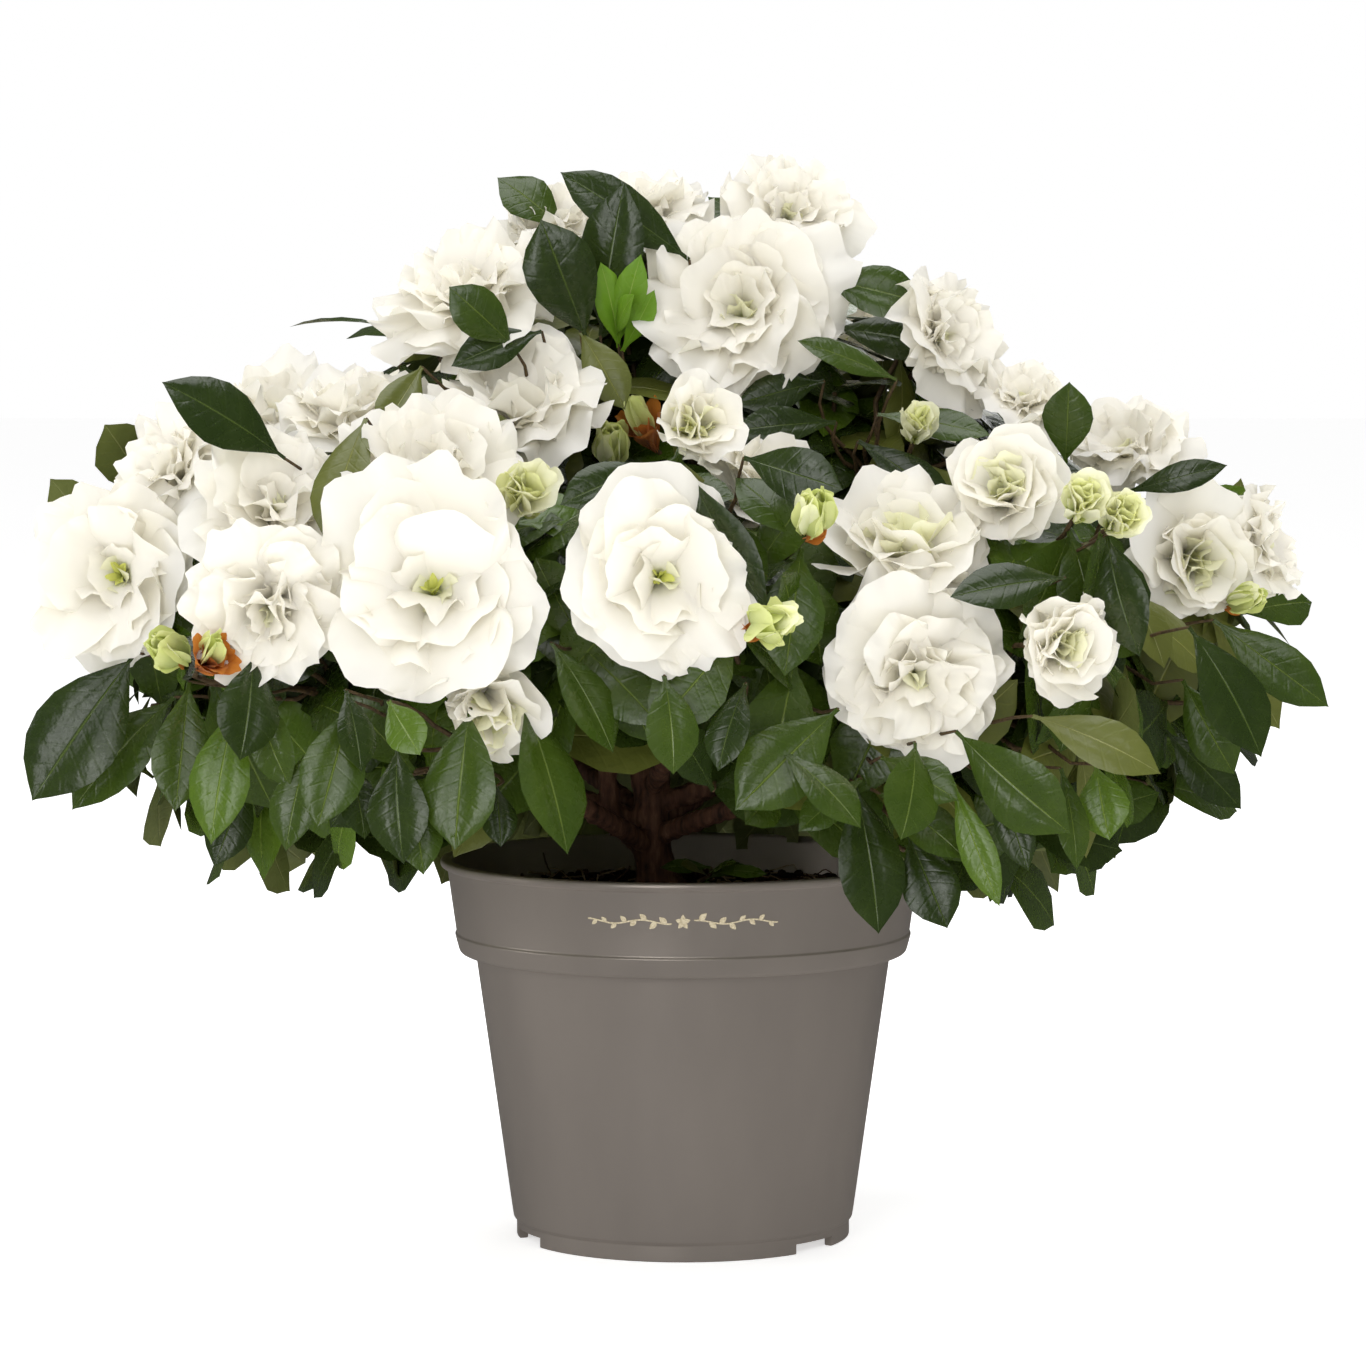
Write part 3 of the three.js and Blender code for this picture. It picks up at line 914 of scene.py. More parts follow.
# The leaves that stand out at the front: base across and up, tip across and up, as shares of the
# crown's half width and height; how far the tip stands proud in mm; width over length; shade.
FRONT_LEAVES = [
    (0.01, 0.915, -0.18, 0.99, 4, 0.42, 0),
    (-0.19, 0.955, -0.28, 0.985, 2, 0.66, 1),
    (-0.13, 0.80, -0.09, 0.975, 10, 0.44, 0),
    (-0.15, 0.79, -0.215, 0.93, 12, 0.60, 0),
    (-0.27, 0.79, -0.355, 0.845, 8, 0.60, 1),
    (-0.22, 0.80, -0.35, 0.745, 12, 0.46, 0),
    (-0.10, 0.775, -0.125, 0.875, 14, 0.40, 4),
    (-0.10, 0.775, -0.065, 0.885, 16, 0.34, 4),
    (-0.095, 0.775, -0.045, 0.84, 12, 0.36, 4),
    (-0.10, 0.775, -0.075, 0.835, 20, 0.42, 4),
    (-0.16, 0.80, -0.09, 0.69, 12, 0.50, 3),
    (-0.61, 0.625, -0.79, 0.72, 16, 0.52, 0),
    (-0.38, 0.72, -0.465, 0.655, 28, 0.42, 3),
    (-0.46, 0.655, -0.545, 0.52, 30, 0.40, 3),
    (-0.21, 0.61, -0.34, 0.68, 28, 0.44, 3),
    (-0.045, 0.615, -0.185, 0.565, 14, 0.50, 0),
    (0.01, 0.61, 0.125, 0.43, 12, 0.34, 0),
    (0.245, 0.69, 0.08, 0.66, 8, 0.40, 0),
    (0.225, 0.745, 0.085, 0.695, 8, 0.44, 0),
    (0.095, 0.635, 0.24, 0.585, 10, 0.54, 0),
    (0.22, 0.885, 0.365, 0.825, 6, 0.56, 1),
    (0.24, 0.82, 0.39, 0.77, 6, 0.48, 0),
    (0.34, 0.745, 0.18, 0.775, 8, 0.40, 1),
    (0.31, 0.70, 0.465, 0.655, 8, 0.36, 1),
    (0.28, 0.665, 0.415, 0.56, 8, 0.34, 0),
    (0.605, 0.63, 0.59, 0.72, 8, 0.60, 1),
    (0.70, 0.59, 0.83, 0.615, 10, 0.30, 0),
    (0.60, 0.475, 0.415, 0.445, 10, 0.46, 0),
    (0.66, 0.53, 0.70, 0.37, 12, 0.46, 0),
    (0.84, 0.42, 0.985, 0.305, 8, 0.40, 1),
    (0.80, 0.41, 0.885, 0.24, 8, 0.52, 0),
    (0.245, 0.30, 0.085, 0.17, 10, 0.56, 1),
    (0.275, 0.20, 0.30, 0.01, 8, 0.50, 0),
    (0.36, 0.13, 0.405, 0.015, 8, 0.60, 0),
    (0.43, 0.27, 0.59, 0.14, 10, 0.52, 1),
    (0.55, 0.29, 0.73, 0.215, 10, 0.40, 3),
    (-0.86, 0.375, -0.995, 0.185, 10, 0.56, 0),
    (-0.795, 0.315, -0.935, 0.17, 12, 0.46, 1),
    (-0.765, 0.335, -0.78, 0.17, 14, 0.46, 1),
    (-0.665, 0.37, -0.68, 0.235, 14, 0.64, 0),
    (-0.69, 0.31, -0.725, 0.125, 14, 0.42, 2),
    (-0.33, 0.30, -0.35, 0.12, 14, 0.56, 1),
    (-0.25, 0.315, -0.18, 0.115, 14, 0.50, 1),
    (-0.21, 0.39, -0.11, 0.245, 8, 0.46, 1),
    (-0.03, 0.345, -0.015, 0.215, 8, 0.56, 1),
    (0.10, 0.335, 0.055, 0.22, 8, 0.50, 0),
    (-0.52, 0.31, -0.56, 0.15, 10, 0.52, 1),
    (-0.45, 0.25, -0.43, 0.10, 10, 0.56, 0),
    (0.36, 0.255, 0.335, 0.13, 14, 0.66, 1),
    (0.15, 0.245, 0.27, 0.145, 12, 0.5, 1),
    (0.43, 0.20, 0.485, 0.045, 8, 0.30, 2),
    (0.50, 0.21, 0.53, 0.09, 8, 0.42, 0),
    (0.60, 0.22, 0.605, 0.09, 8, 0.34, 1),
    (0.66, 0.225, 0.655, 0.13, 6, 0.72, 2),
    (0.775, 0.27, 0.855, 0.17, 6, 0.44, 0),
    (0.80, 0.34, 0.845, 0.215, 6, 0.50, 1),
    (0.315, 0.185, 0.43, 0.105, 8, 0.52, 1),
    (0.285, 0.205, 0.18, 0.14, 8, 0.46, 1),
    (0.31, 0.235, 0.42, 0.18, 12, 0.56, 1),
    (-0.69, 0.21, -0.72, 0.095, 8, 0.50, 0),
    (-0.59, 0.25, -0.61, 0.115, 8, 0.46, 1),
    (-0.53, 0.23, -0.49, 0.13, 8, 0.52, 0),
    (-0.435, 0.21, -0.40, 0.085, 8, 0.50, 1),
    (-0.30, 0.195, -0.28, 0.12, 6, 0.60, 0),
    (-0.67, 0.325, -0.605, 0.20, 12, 0.50, 1),
    (-0.53, 0.325, -0.495, 0.22, 10, 0.52, 0),
    (-0.46, 0.31, -0.405, 0.24, 12, 0.62, 2),
]


def front_leaves(rng):
    """Each arches from its base to its tip, with its upper side to the viewer; and a shoot for each."""
    rows, stalks = [], []
    for across, up, tip_across, tip_up, proud, shape, shade in FRONT_LEAVES:
        place_, _, mass = seen_at(across, up)
        base = place_ + unit(place_ - CORE) * (0.6 * proud - 10) * MM
        depth = (place_ - CAMERA_PLACE)[1] + 5 * MM
        target = np.array([tip_across * half_width, 0, HEM + tip_up * crown_height])
        way = unit(target - CAMERA_PLACE)
        tip = CAMERA_PLACE + way * (depth - proud * MM) / way[1]
        length = np.linalg.norm(tip - base) * 1.04
        chord = unit(tip - base)
        to_camera = unit(CAMERA_PLACE - tip)
        top = across_to(chord, to_camera + 0.45 * UP + rng.normal(scale=[0.5, 0.2, 0.22]))
        droop = rng.uniform(12, 40)
        lift = math.radians(droop / 2)
        start = math.cos(lift) * chord + math.sin(lift) * top
        fold = rng.uniform(14, 28)
        rows.append(leaf_row(base, start, top, length, rng, shade, droop, fold, shape * length))
        stalks.append(Shoot(base, unit(base - CORE), mass, 0.4 * MM))
    return rows, stalks


# What the lowest leaves leave open: the stems and the soil behind the rim. Each is a place across
# and up, at the stem's depth, and a radius in mm.
STEM_WINDOW = [
    (-0.13, 0.15, 10), (-0.06, 0.17, 16), (0.02, 0.15, 14), (0.06, 0.13, 9),
    (-0.10, 0.07, 12), (0.0, 0.07, 14), (0.10, 0.06, 10), (-0.19, 0.06, 10), (-0.28, 0.055, 9),
]


class Sight:
    """What the viewer at the front should see: things that no other leaf may cover."""

    BACK = 4 * MM  # leaves this far behind a thing count as covering it too

    def __init__(self, places, radii):
        self.far, self.ways = beyond(np.array(places))
        self.radii = np.array(radii)

    def covered_by(self, point):
        far, way = beyond(point)
        apart = np.linalg.norm(self.ways - way, axis=1) * self.far
        return bool(np.any((apart < self.radii) & (far < self.far + self.BACK)))


BLOOM_BASES = np.array([b.base for b in blooms])
BLOOM_AXES = np.array([b.axis for b in blooms])
BLOOM_SIZES = np.array([b.diameter for b in blooms])


def inside_a_bloom(point, mine=None, share=0.40):
    """Whether a point lies in the space that the petals of a bloom fill."""
    apart = point - BLOOM_BASES
    height = np.sum(apart * BLOOM_AXES, axis=1)
    wide = np.linalg.norm(apart - height[:, None] * BLOOM_AXES, axis=1)
    room = share * BLOOM_SIZES * (0.35 + 0.65 * np.clip(4 * height / BLOOM_SIZES + 0.2, 0, 1))
    inside = (height > -0.02 * BLOOM_SIZES) & (height < 0.75 * BLOOM_SIZES) & (wide < room)
    if mine is not None:
        inside[mine] = False
    return bool(inside.any())


PROUD = 7 * MM  # how far a leaf's tip may stand out of the crown's masses
PROUD_BELOW = 3 * MM  # the same, under the crown
SIDE_BLOOMS = np.array([145, 70, 150]) * MM  # beyond these X, Y and Z blooms make the crown's outline


def room_outside(end):
    if abs(end[0]) > SIDE_BLOOMS[0] and end[1] < SIDE_BLOOMS[1] and end[2] > SIDE_BLOOMS[2]:
        return -1 * MM
    return PROUD_BELOW if underneath(end) else PROUD


def whorl(tip, axis, count, rng, shades, open_angles, sag, sight, mine=None, free=False):
    """A spray of leaves round the end of a shoot, the youngest at its tip.

    Left out are leaves that would lie in a bloom other than mine, cover what sight holds, or, unless
    the spray is free, stand too far out of the crown.
    """
    out = across_to(axis, rng.normal(size=3))
    side = np.cross(axis, out)
    shade = shades[rng.integers(len(shades))]
    rows = []
    for k in range(count):
        age = (k + 0.5) / count
        turn = GOLDEN * k + rng.uniform(-0.2, 0.2)
        radial = math.cos(turn) * out + math.sin(turn) * side
        lean = math.radians(open_angles[0] + (open_angles[1] - open_angles[0]) * age + rng.uniform(-8, 8))
        way = unit(math.cos(lean) * axis + math.sin(lean) * radial - sag * (0.4 + age) * UP)
        base = tip - axis * (2 + 13 * age) * MM
        length = rng.uniform(*LEAF_LENGTH) * MM * (0.72 + 0.28 * min(1, 0.4 + age))
        top = unit(axis + 0.55 * UP + rng.normal(scale=0.12, size=3))
        droop = rng.uniform(*DROOP)
        end = base + way * length * 0.97 - top * length * 0.45 * math.radians(droop)
        middle = base + way * length * 0.55
        tint = shade if rng.random() < 0.8 else shades[rng.integers(len(shades))]
        row = leaf_row(base, way, top, length, rng, tint, droop)
        if inside_a_bloom(end, mine) or inside_a_bloom(middle, mine):
            continue
        if not free and outside(end) > room_outside(end):
            continue
        if sight.covered_by(end) or sight.covered_by(middle):
            continue
        rows.append(row)
    return rows


# The layers of leafy shoots: their spacing and their depth in the crown in mm, shades, and tries.
LAYERS = [(25, 19, SHADES_OUTER, 5000), (26, 42, SHADES_INNER, 4000)]
SHOOT_BACK = 4 * MM  # a shoot's twig ends this far behind its spray


def grow_leaves():
    """The placed leaves, the sprays behind the blooms, two layers of sprays, and the low back sprays."""
    rng = np.random.default_rng(23)
    rows, shoots = front_leaves(rng)
    middles = [r["base"] + unit(r["way"]) * r["length"] * share for r in rows for share in (0.3, 0.7)]
    window = [np.array([a * half_width, 0, HEM + u * crown_height]) for a, u, _ in STEM_WINDOW]
    radii = [0.44 * b.diameter for b in shown_blooms]
    radii += np.repeat([0.24 * r["length"] for r in rows], 2).tolist()
    radii += [radius * MM for _, _, radius in STEM_WINDOW]
    sight = Sight([b.place for b in shown_blooms] + middles + window, radii)
    for number, b in enumerate(blooms):
        shoots.append(Shoot(b.base, b.axis, b.mass))
        count = 5 if b.form in FORWARD else 7
        rows += whorl(b.base - b.axis * MM, b.axis, count, rng, SHADES_OUTER, (72, 118), 0.30, sight, number)
    for spacing, depth, shades, tries in LAYERS:
        outer = shades is SHADES_OUTER
        taken = [b.place for b in blooms] if outer else []
        for place_, normal, mass in crown_places(tries, rng):
            outward = unit(place_ - CORE)
            end = place_ - outward * (depth + rng.uniform(-3, 6)) * MM
            if taken and np.linalg.norm(end - np.array(taken), axis=1).min() < spacing * MM:
                continue
            if outer and inside_a_bloom(place_, share=0.46):
                continue
            taken.append(end)
            axis = unit(outward + 0.3 * normal + rng.normal(scale=0.22, size=3))
            sag = 0.22 + 0.6 * max(0, -axis[2])
            axis = unit(np.maximum(axis, [-1, -1, -0.1]))
            spray = whorl(end, axis, 7, rng, shades, (50, 104), sag, sight)
            if len(spray) > 2:
                shoots.append(Shoot(end - axis * SHOOT_BACK, axis, mass))
                rows += spray
    for end in back_hem(rng):
        axis = unit(end * [0.6, 1, 0] + rng.normal(scale=0.01, size=3))
        rows += whorl(end, axis, 8, rng, SHADES_INNER, (60, 110), 0.95, sight, free=True)
        shoots.append(Shoot(end - axis * SHOOT_BACK, axis, surface_mass(end)))
    return rows, shoots


BACK_ROWS = ((88, 130), (112, 134))  # how far back in the middle, and how high, in mm
BACK_STEP = 21  # mm across, from shoot to shoot
BACK_HALF_WIDTH = 190  # mm, of the ellipse that each row follows


def back_hem(rng):
    """Ends of the shoots behind the stems, whose leaves hang low enough to close the view past them."""
    ends = []
    for row, (reach, height) in enumerate(BACK_ROWS):
        for k in range(-5, 6):
            x = (k + 0.5 * row) * BACK_STEP + rng.uniform(-4, 4)
            y = reach * math.sqrt(1 - (x / BACK_HALF_WIDTH) ** 2) + rng.uniform(-5, 5)
            ends.append(np.array([x, y, height + rng.uniform(-4, 4)]) * MM)
    return ends


def surface_mass(point):
    """The number of the mass nearest to a point."""
    return mass_of_face[surface.find_nearest(Vector(point))[2]]


leaf_rows, shoots = grow_leaves()

# A small sprout that rises from the soil beside the stem: its foot, its tip, and the yaw, pitch,
# length in mm and shade of each leaf.
SPROUT_FOOT = np.array([3.0, -10.0, 96.0]) * MM
SPROUT_TIP = np.array([8.0, -17.0, 108.0]) * MM
SPROUT = [
    (-70, 10, 15, 1), (70, 5, 17, 2), (30, 25, 14, 2), (-30, 35, 12, 3), (100, 30, 13, 1),
    (60, -20, 15, 1), (-10, -15, 13, 2),
]
SPROUT_LEAF_WIDTH = 6 * MM


def sprout_leaves(rng):
    rows = []
    for number, (yaw, pitch, length, shade) in enumerate(SPROUT):
        base = SPROUT_TIP + (SPROUT_FOOT - SPROUT_TIP) * 0.07 * number
        top = UP + 0.8 * facing(0, 0)
        way = facing(yaw, pitch)
        rows.append(leaf_row(base, way, top, length * MM, rng, shade, width=SPROUT_LEAF_WIDTH))
    return rows


leaf_rows += sprout_leaves(np.random.default_rng(67))

# ------------------------------------------------------------------ twigs


def bough_end(name):
    """The middle and the direction of a bough's outer end."""
    points = corners(name)
    stem = corners("trunk").mean(axis=0)
    goal = centres[MASSES.index(name.replace("bough", "foliage"))]
    way = unit(goal - points[np.argmin(np.linalg.norm(points - goal, axis=1))])
    reach = points @ way
    last = points[reach > reach.max() - 0.004]
    earlier = points[(reach > reach.max() - 0.02) & (reach <= reach.max() - 0.008)]
    start = earlier.mean(axis=0) if len(earlier) else stem
    return last.mean(axis=0), unit(last.mean(axis=0) - start)


TWIG_STEPS = 8
LIMB_RADII = (1.75 * MM, 1.25 * MM)
TWIG_RADIUS = 1.0 * MM  # at its fork


def grow_twigs():
    """From each bough's end to groups of shoots, and from each group's fork to its shoots."""
    rng = np.random.default_rng(37)
    patches = Patches()
    ends = {name.replace("bough", "foliage"): bough_end(name) for name in BOUGHS}
    owners = sorted(ends)
    places = np.array([ends[owner][0] for owner in owners])
    for number, mass in enumerate(MASSES):
        mine = [s for s in shoots if s.mass == number]
        if not mine:
            continue
        if mass not in ends:
            mass = owners[int(np.argmin(np.linalg.norm(places - centres[number], axis=1)))]
        root, root_way = ends[mass]
        tips = np.array([s.end for s in mine])
        groups = max(2, len(mine) // 6)
        forks = tips[rng.choice(len(tips), groups, replace=False)]
        for _ in range(6):
            member = np.argmin(np.linalg.norm(tips[:, None] - forks[None], axis=2), axis=1)
            forks = np.array([tips[member == g].mean(axis=0) if (member == g).any() else forks[g]
                              for g in range(groups)])
        for g in range(groups):
            if not (member == g).any():
                continue
            fork = root + 0.58 * (forks[g] - root) + rng.normal(scale=3 * MM, size=3)
            way = unit(forks[g] - root)
            start = root - root_way * 3 * MM
            limb = bend(start, root_way, fork, way, TWIG_STEPS)
            add_tube(patches, limb, np.linspace(*LIMB_RADII, TWIG_STEPS), 7, rng)
            for k in np.nonzero(member == g)[0]:
                shoot = mine[k]
                twig = bend(fork - way * 1.5 * MM, way, shoot.end, shoot.axis, TWIG_STEPS)
                add_tube(patches, twig, np.linspace(TWIG_RADIUS, shoot.radius, TWIG_STEPS), 5, rng)
    stalk = bend(SPROUT_FOOT, UP, SPROUT_TIP, UP + facing(30, 0), 9)
    add_tube(patches, stalk, np.linspace(0.9, 0.5, 9) * MM, 6, rng)
    patches.piece("twigs", [TWIG], "bark")


def add_tube(patches, points, radii, sides, rng):
    wander = rng.normal(scale=0.5 * MM, size=points.shape)
    wander[0] = wander[-1] = 0
    vertices, quads = tube(points + wander, radii, sides)
    patches.add(vertices, quads, np.zeros((len(vertices), 2)), 0)


grow_twigs()
make_leaves(leaf_rows[:len(FRONT_LEAVES)], FINE_LEAF, 1)
make_leaves(leaf_rows[len(FRONT_LEAVES):], PLAIN_LEAF, 2)

# ------------------------------------------------------------------ stem and boughs


def make_wood():
    """The stem and boughs as one grown body: joined, rounded at their forks, and given bark."""
    whole = bmesh.new()
    for name in ["trunk"] + BOUGHS:
        whole.from_mesh(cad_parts[name].data)
    mesh = bpy.data.meshes.new("wood")
    whole.to_mesh(mesh)
    whole.free()
    mesh.materials.clear()
    mesh.materials.append(BARK)
    piece = place(mesh, "stem_and_boughs")
    remesh = piece.modifiers.new("join", "REMESH")
    remesh.mode = "VOXEL"
    remesh.voxel_size = 0.75 * MM
    soften = piece.modifiers.new("soften", "SMOOTH")
    soften.factor = 0.6
    soften.iterations = 4
    apply_modifiers(piece)
    points = mesh_points(piece.data)
    normals = np.zeros(points.size, np.float32)
    piece.data.vertices.foreach_get("normal", normals)
    ridges = waves(points * [1, 1, 0.3], 3.2 * MM, 5) + 0.6 * waves(points * [1, 1, 0.5], 1.7 * MM, 6)
    knots = np.maximum(waves(points, 11 * MM, 7) - 0.55, 0)
    swell = 0.35 * MM + 0.28 * MM * ridges + 1.3 * MM * knots
    points += normals.reshape(-1, 3) * swell[:, None]
    points[:, 2] = np.maximum(points[:, 2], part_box("trunk")[0].z - 1 * MM)
    move_points(piece.data, points)
    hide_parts("trunk", *BOUGHS)


def apply_modifiers(piece):
    """Turns a piece's modifiers into its mesh."""
    graph = bpy.context.evaluated_depsgraph_get()
    made = bpy.data.meshes.new_from_object(piece.evaluated_get(graph))
    piece.modifiers.clear()
    piece.data = made


make_wood()

# ------------------------------------------------------------------ pot

pot_low, pot_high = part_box("pot")
LIP = pot_high.x  # radius of the bead
RIM = pot_high.z
WALL = 1.3 * MM
BAND_LOW = 82.2 * MM
BAND_LEDGE = 88.0 * MM
BAND_RADII = (64.5 * MM, 67.9 * MM)  # at its foot and under the bead
BODY_RADII = (49.0 * MM, 59.8 * MM)  # at its foot and under the band
FOOT_HEIGHT = 5.5 * MM
FOOT_RADII = (45.5 * MM, 48.1 * MM)  # inner and outer
FLOOR = (3.4 * MM, 4.9 * MM)  # heights of its underside and its top
BEAD = 2.6 * MM
NOTCHES = (82, 202, 322)  # degrees round the foot
NOTCH = (17 * MM, 2.9 * MM)  # width and height
DRAINS, DRAIN_RING, DRAIN_RADIUS = 6, 30 * MM, 4.2 * MM
POT_SIDES = 240


ARC_POINTS = 5


def rounded(profile):
    """A profile of (radius, height, rounding) with its corners turned into arcs."""
    places = np.array([p[:2] for p in profile])
    result = [places[0]]
    for before, here, after, corner in zip(places, places[1:], places[2:], profile[1:-1]):
        size = corner[2]
        if size == 0:
            result.append(here)
            continue
        back, on = unit(before - here), unit(after - here)
        size = min(size, 0.45 * np.linalg.norm(before - here), 0.45 * np.linalg.norm(after - here))
        for t in np.linspace(0, 1, ARC_POINTS):
            result.append(here + (1 - t) ** 2 * size * back + t**2 * size * on)
    result.append(places[-1])
    return np.array(result)


def turned(profile, sides, name, material):
    """A closed body from a profile that starts and ends on the axis, turned round Z."""
    turn = np.linspace(0, TURN, sides, endpoint=False)
    ring = np.stack([np.cos(turn), np.sin(turn)], axis=1)
    middle = profile[1:-1]
    points = np.concatenate([
        np.concatenate([radius * ring, np.full((sides, 1), height)], axis=1) for radius, height in middle
    ])
    corner = np.arange(len(middle) * sides).reshape(len(middle), sides)
    onward = np.roll(corner, -1, axis=1)
    faces = np.stack([corner[:-1], onward[:-1], onward[1:], corner[1:]], axis=-1).reshape(-1, 4).tolist()
    faces.append(corner[0][::-1].tolist())
    faces.append(corner[-1].tolist())
    mesh = bpy.data.meshes.new(name)
    mesh.from_pydata(points.tolist(), [], faces)
    mesh.materials.append(material)
    return place(mesh, name)


def along_band(height):
    """Outer radius of the rim band at a height."""
    share = (height - BAND_LOW) / (RIM - BEAD - BAND_LOW)
    return BAND_RADII[0] + share * (BAND_RADII[1] - BAND_RADII[0])


def along_body(height):
    share = (height - FOOT_HEIGHT) / (BAND_LOW - FOOT_HEIGHT)
    return BODY_RADII[0] + share * (BODY_RADII[1] - BODY_RADII[0])


def make_pot():
    ledge = 0.45 * MM
    soft, firm = 1.0 * MM, 0.5 * MM
    shoulder = BAND_LOW + WALL
    profile = rounded([
        (0, FLOOR[0], 0),
        (FOOT_RADII[0], FLOOR[0], firm),
        (FOOT_RADII[0], 0, firm),
        (FOOT_RADII[1], 0, firm),
        (FOOT_RADII[1], FOOT_HEIGHT - 0.7 * MM, firm),
        (BODY_RADII[0], FOOT_HEIGHT, firm),
        (BODY_RADII[0] + 0.35 * MM, FOOT_HEIGHT + 2.2 * MM, soft),
        (along_body(BAND_LOW - 2 * MM), BAND_LOW - 2 * MM, 0),
        (BODY_RADII[1], BAND_LOW, firm),
        (BAND_RADII[0] - 0.2 * MM, BAND_LOW, 1.3 * MM),
        (along_band(BAND_LEDGE) + ledge, BAND_LEDGE - 0.3 * MM, firm),
        (along_band(BAND_LEDGE), BAND_LEDGE + 0.25 * MM, firm),
        (BAND_RADII[1], RIM - BEAD, firm),
        (LIP, RIM - BEAD + 0.5 * MM, soft),
        (LIP, RIM, soft),
        (BAND_RADII[1] - WALL, RIM, soft),
        (along_band(shoulder) - WALL, shoulder, soft),
        (along_body(BAND_LOW) - WALL, shoulder, soft),
        (along_body(FLOOR[1]) - WALL, FLOOR[1], soft),
        (0, FLOOR[1], 0),
    ])
    pot = turned(profile, POT_SIDES, "pot_shell", pot_material())
    for cutter in notch_cutters() + drain_cutters():
        cut = pot.modifiers.new("cut", "BOOLEAN")
        cut.operation = "DIFFERENCE"
        cut.object = cutter
        cut.solver = "EXACT"
        apply_modifiers(pot)
        bpy.data.objects.remove(cutter)
    pot.data.polygons.foreach_set("use_smooth", np.ones(len(pot.data.polygons), bool))
    pot.data.set_sharp_from_angle(angle=math.radians(32))
    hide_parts("pot")


def cutter_object(points, faces):
    mesh = bpy.data.meshes.new("cutter")
    mesh.from_pydata([tuple(p) for p in points], [], faces)
    cutter = bpy.data.objects.new("cutter", mesh)
    bpy.context.scene.collection.objects.link(cutter)
    return cutter


def prism(outline, low, high):
    """A cutter with that outline in X and Y, from low to high."""
    count = len(outline)
    points = [(x, y, z) for z in (low, high) for x, y in outline]
    faces = [list(range(count))[::-1], list(range(count, 2 * count))]
    faces += [[k, (k + 1) % count, count + (k + 1) % count, count + k] for k in range(count)]
    return cutter_object(points, faces)


def notch_cutters():
    made = []
    for angle in NOTCHES:
        turn = math.radians(angle)
        way, side = np.array([math.cos(turn), math.sin(turn)]), np.array([-math.sin(turn), math.cos(turn)])
        near, far = (FOOT_RADII[0] - 3 * MM) * way, (FOOT_RADII[1] + 4 * MM) * way
        half = NOTCH[0] / 2 * side
        made.append(prism([near - half, far - half, far + half, near + half], -1 * MM, NOTCH[1]))
    return made


def drain_cutters():
    made = []
    for k in range(DRAINS):
        turn = TURN * k / DRAINS
        middle = DRAIN_RING * np.array([math.cos(turn), math.sin(turn)])
        circle = [middle + DRAIN_RADIUS * np.array([math.cos(a), math.sin(a)])
                  for a in np.linspace(0, TURN, 32, endpoint=False)]
        made.append(prism(circle, FLOOR[0] - 1 * MM, FLOOR[1] + 1 * MM))
    return made


make_pot()

# The print on the rim band: a small running sprig, as a plain ornament.
PRINT_HEIGHT = 98.3 * MM
PRINT_HALF_WIDTH = 27 * MM


def make_print():
    patches = Patches()

    def on_band(x, z):
        """A point of the print, wrapped onto the band."""
        height = PRINT_HEIGHT + z
        radius = along_band(height) + 0.09 * MM
        turn = x / radius
        return np.stack([radius * np.sin(turn), -radius * np.cos(turn), height], axis=-1)

    def shape(x, z):
        rows, columns = x.shape
        points = on_band(x.ravel(), z.ravel())
        patches.add(points, grid_quads(rows, columns), np.zeros((len(points), 2)), 0)

    def small_leaf(x, z, angle, length):
        u = np.linspace(0, 1, 9)[:, None]
        v = np.linspace(-1, 1, 3)[None, :]
        wide = 0.3 * length * np.sin(math.pi * u**0.85) * v
        far = length * u + 0 * v
        along, across = math.cos(angle), math.sin(angle)
        shape(x + far * along - wide * across, z + far * across + wide * along)

    stalk = np.linspace(-1, 1, 80)[:, None]
    thick = 0.22 * MM * np.array([[1.0, -1.0]])
    sway = 0.55 * MM * np.sin(stalk * 11)
    gap = np.abs(stalk) > 0.09
    for sign in (-1, 1):
        part = stalk[(np.sign(stalk) == sign) & gap][:, None]
        wave = sway[(np.sign(stalk) == sign) & gap][:, None]
        shape(part * PRINT_HALF_WIDTH + 0 * thick, wave + thick)
    for k in range(1, 9):
        for sign in (-1, 1):
            x = sign * (0.06 + 0.105 * k) * PRINT_HALF_WIDTH
            z = 0.55 * MM * math.sin(x / PRINT_HALF_WIDTH * 11)
            tilt = 0.75 if k % 2 else -0.75
            small_leaf(x, z, tilt if sign > 0 else math.pi - tilt, (3.0 - 0.12 * k) * MM)
    for k in range(5):
        small_leaf(0, 0, math.pi / 2 + TURN * k / 5, 2.2 * MM)
    patches.piece("band_print", [print_material()], "pot")


make_print()

# ------------------------------------------------------------------ soil

SOIL_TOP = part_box("root_ball")[1].z
SOIL_SIDES = 160
SOIL_RINGS = 70


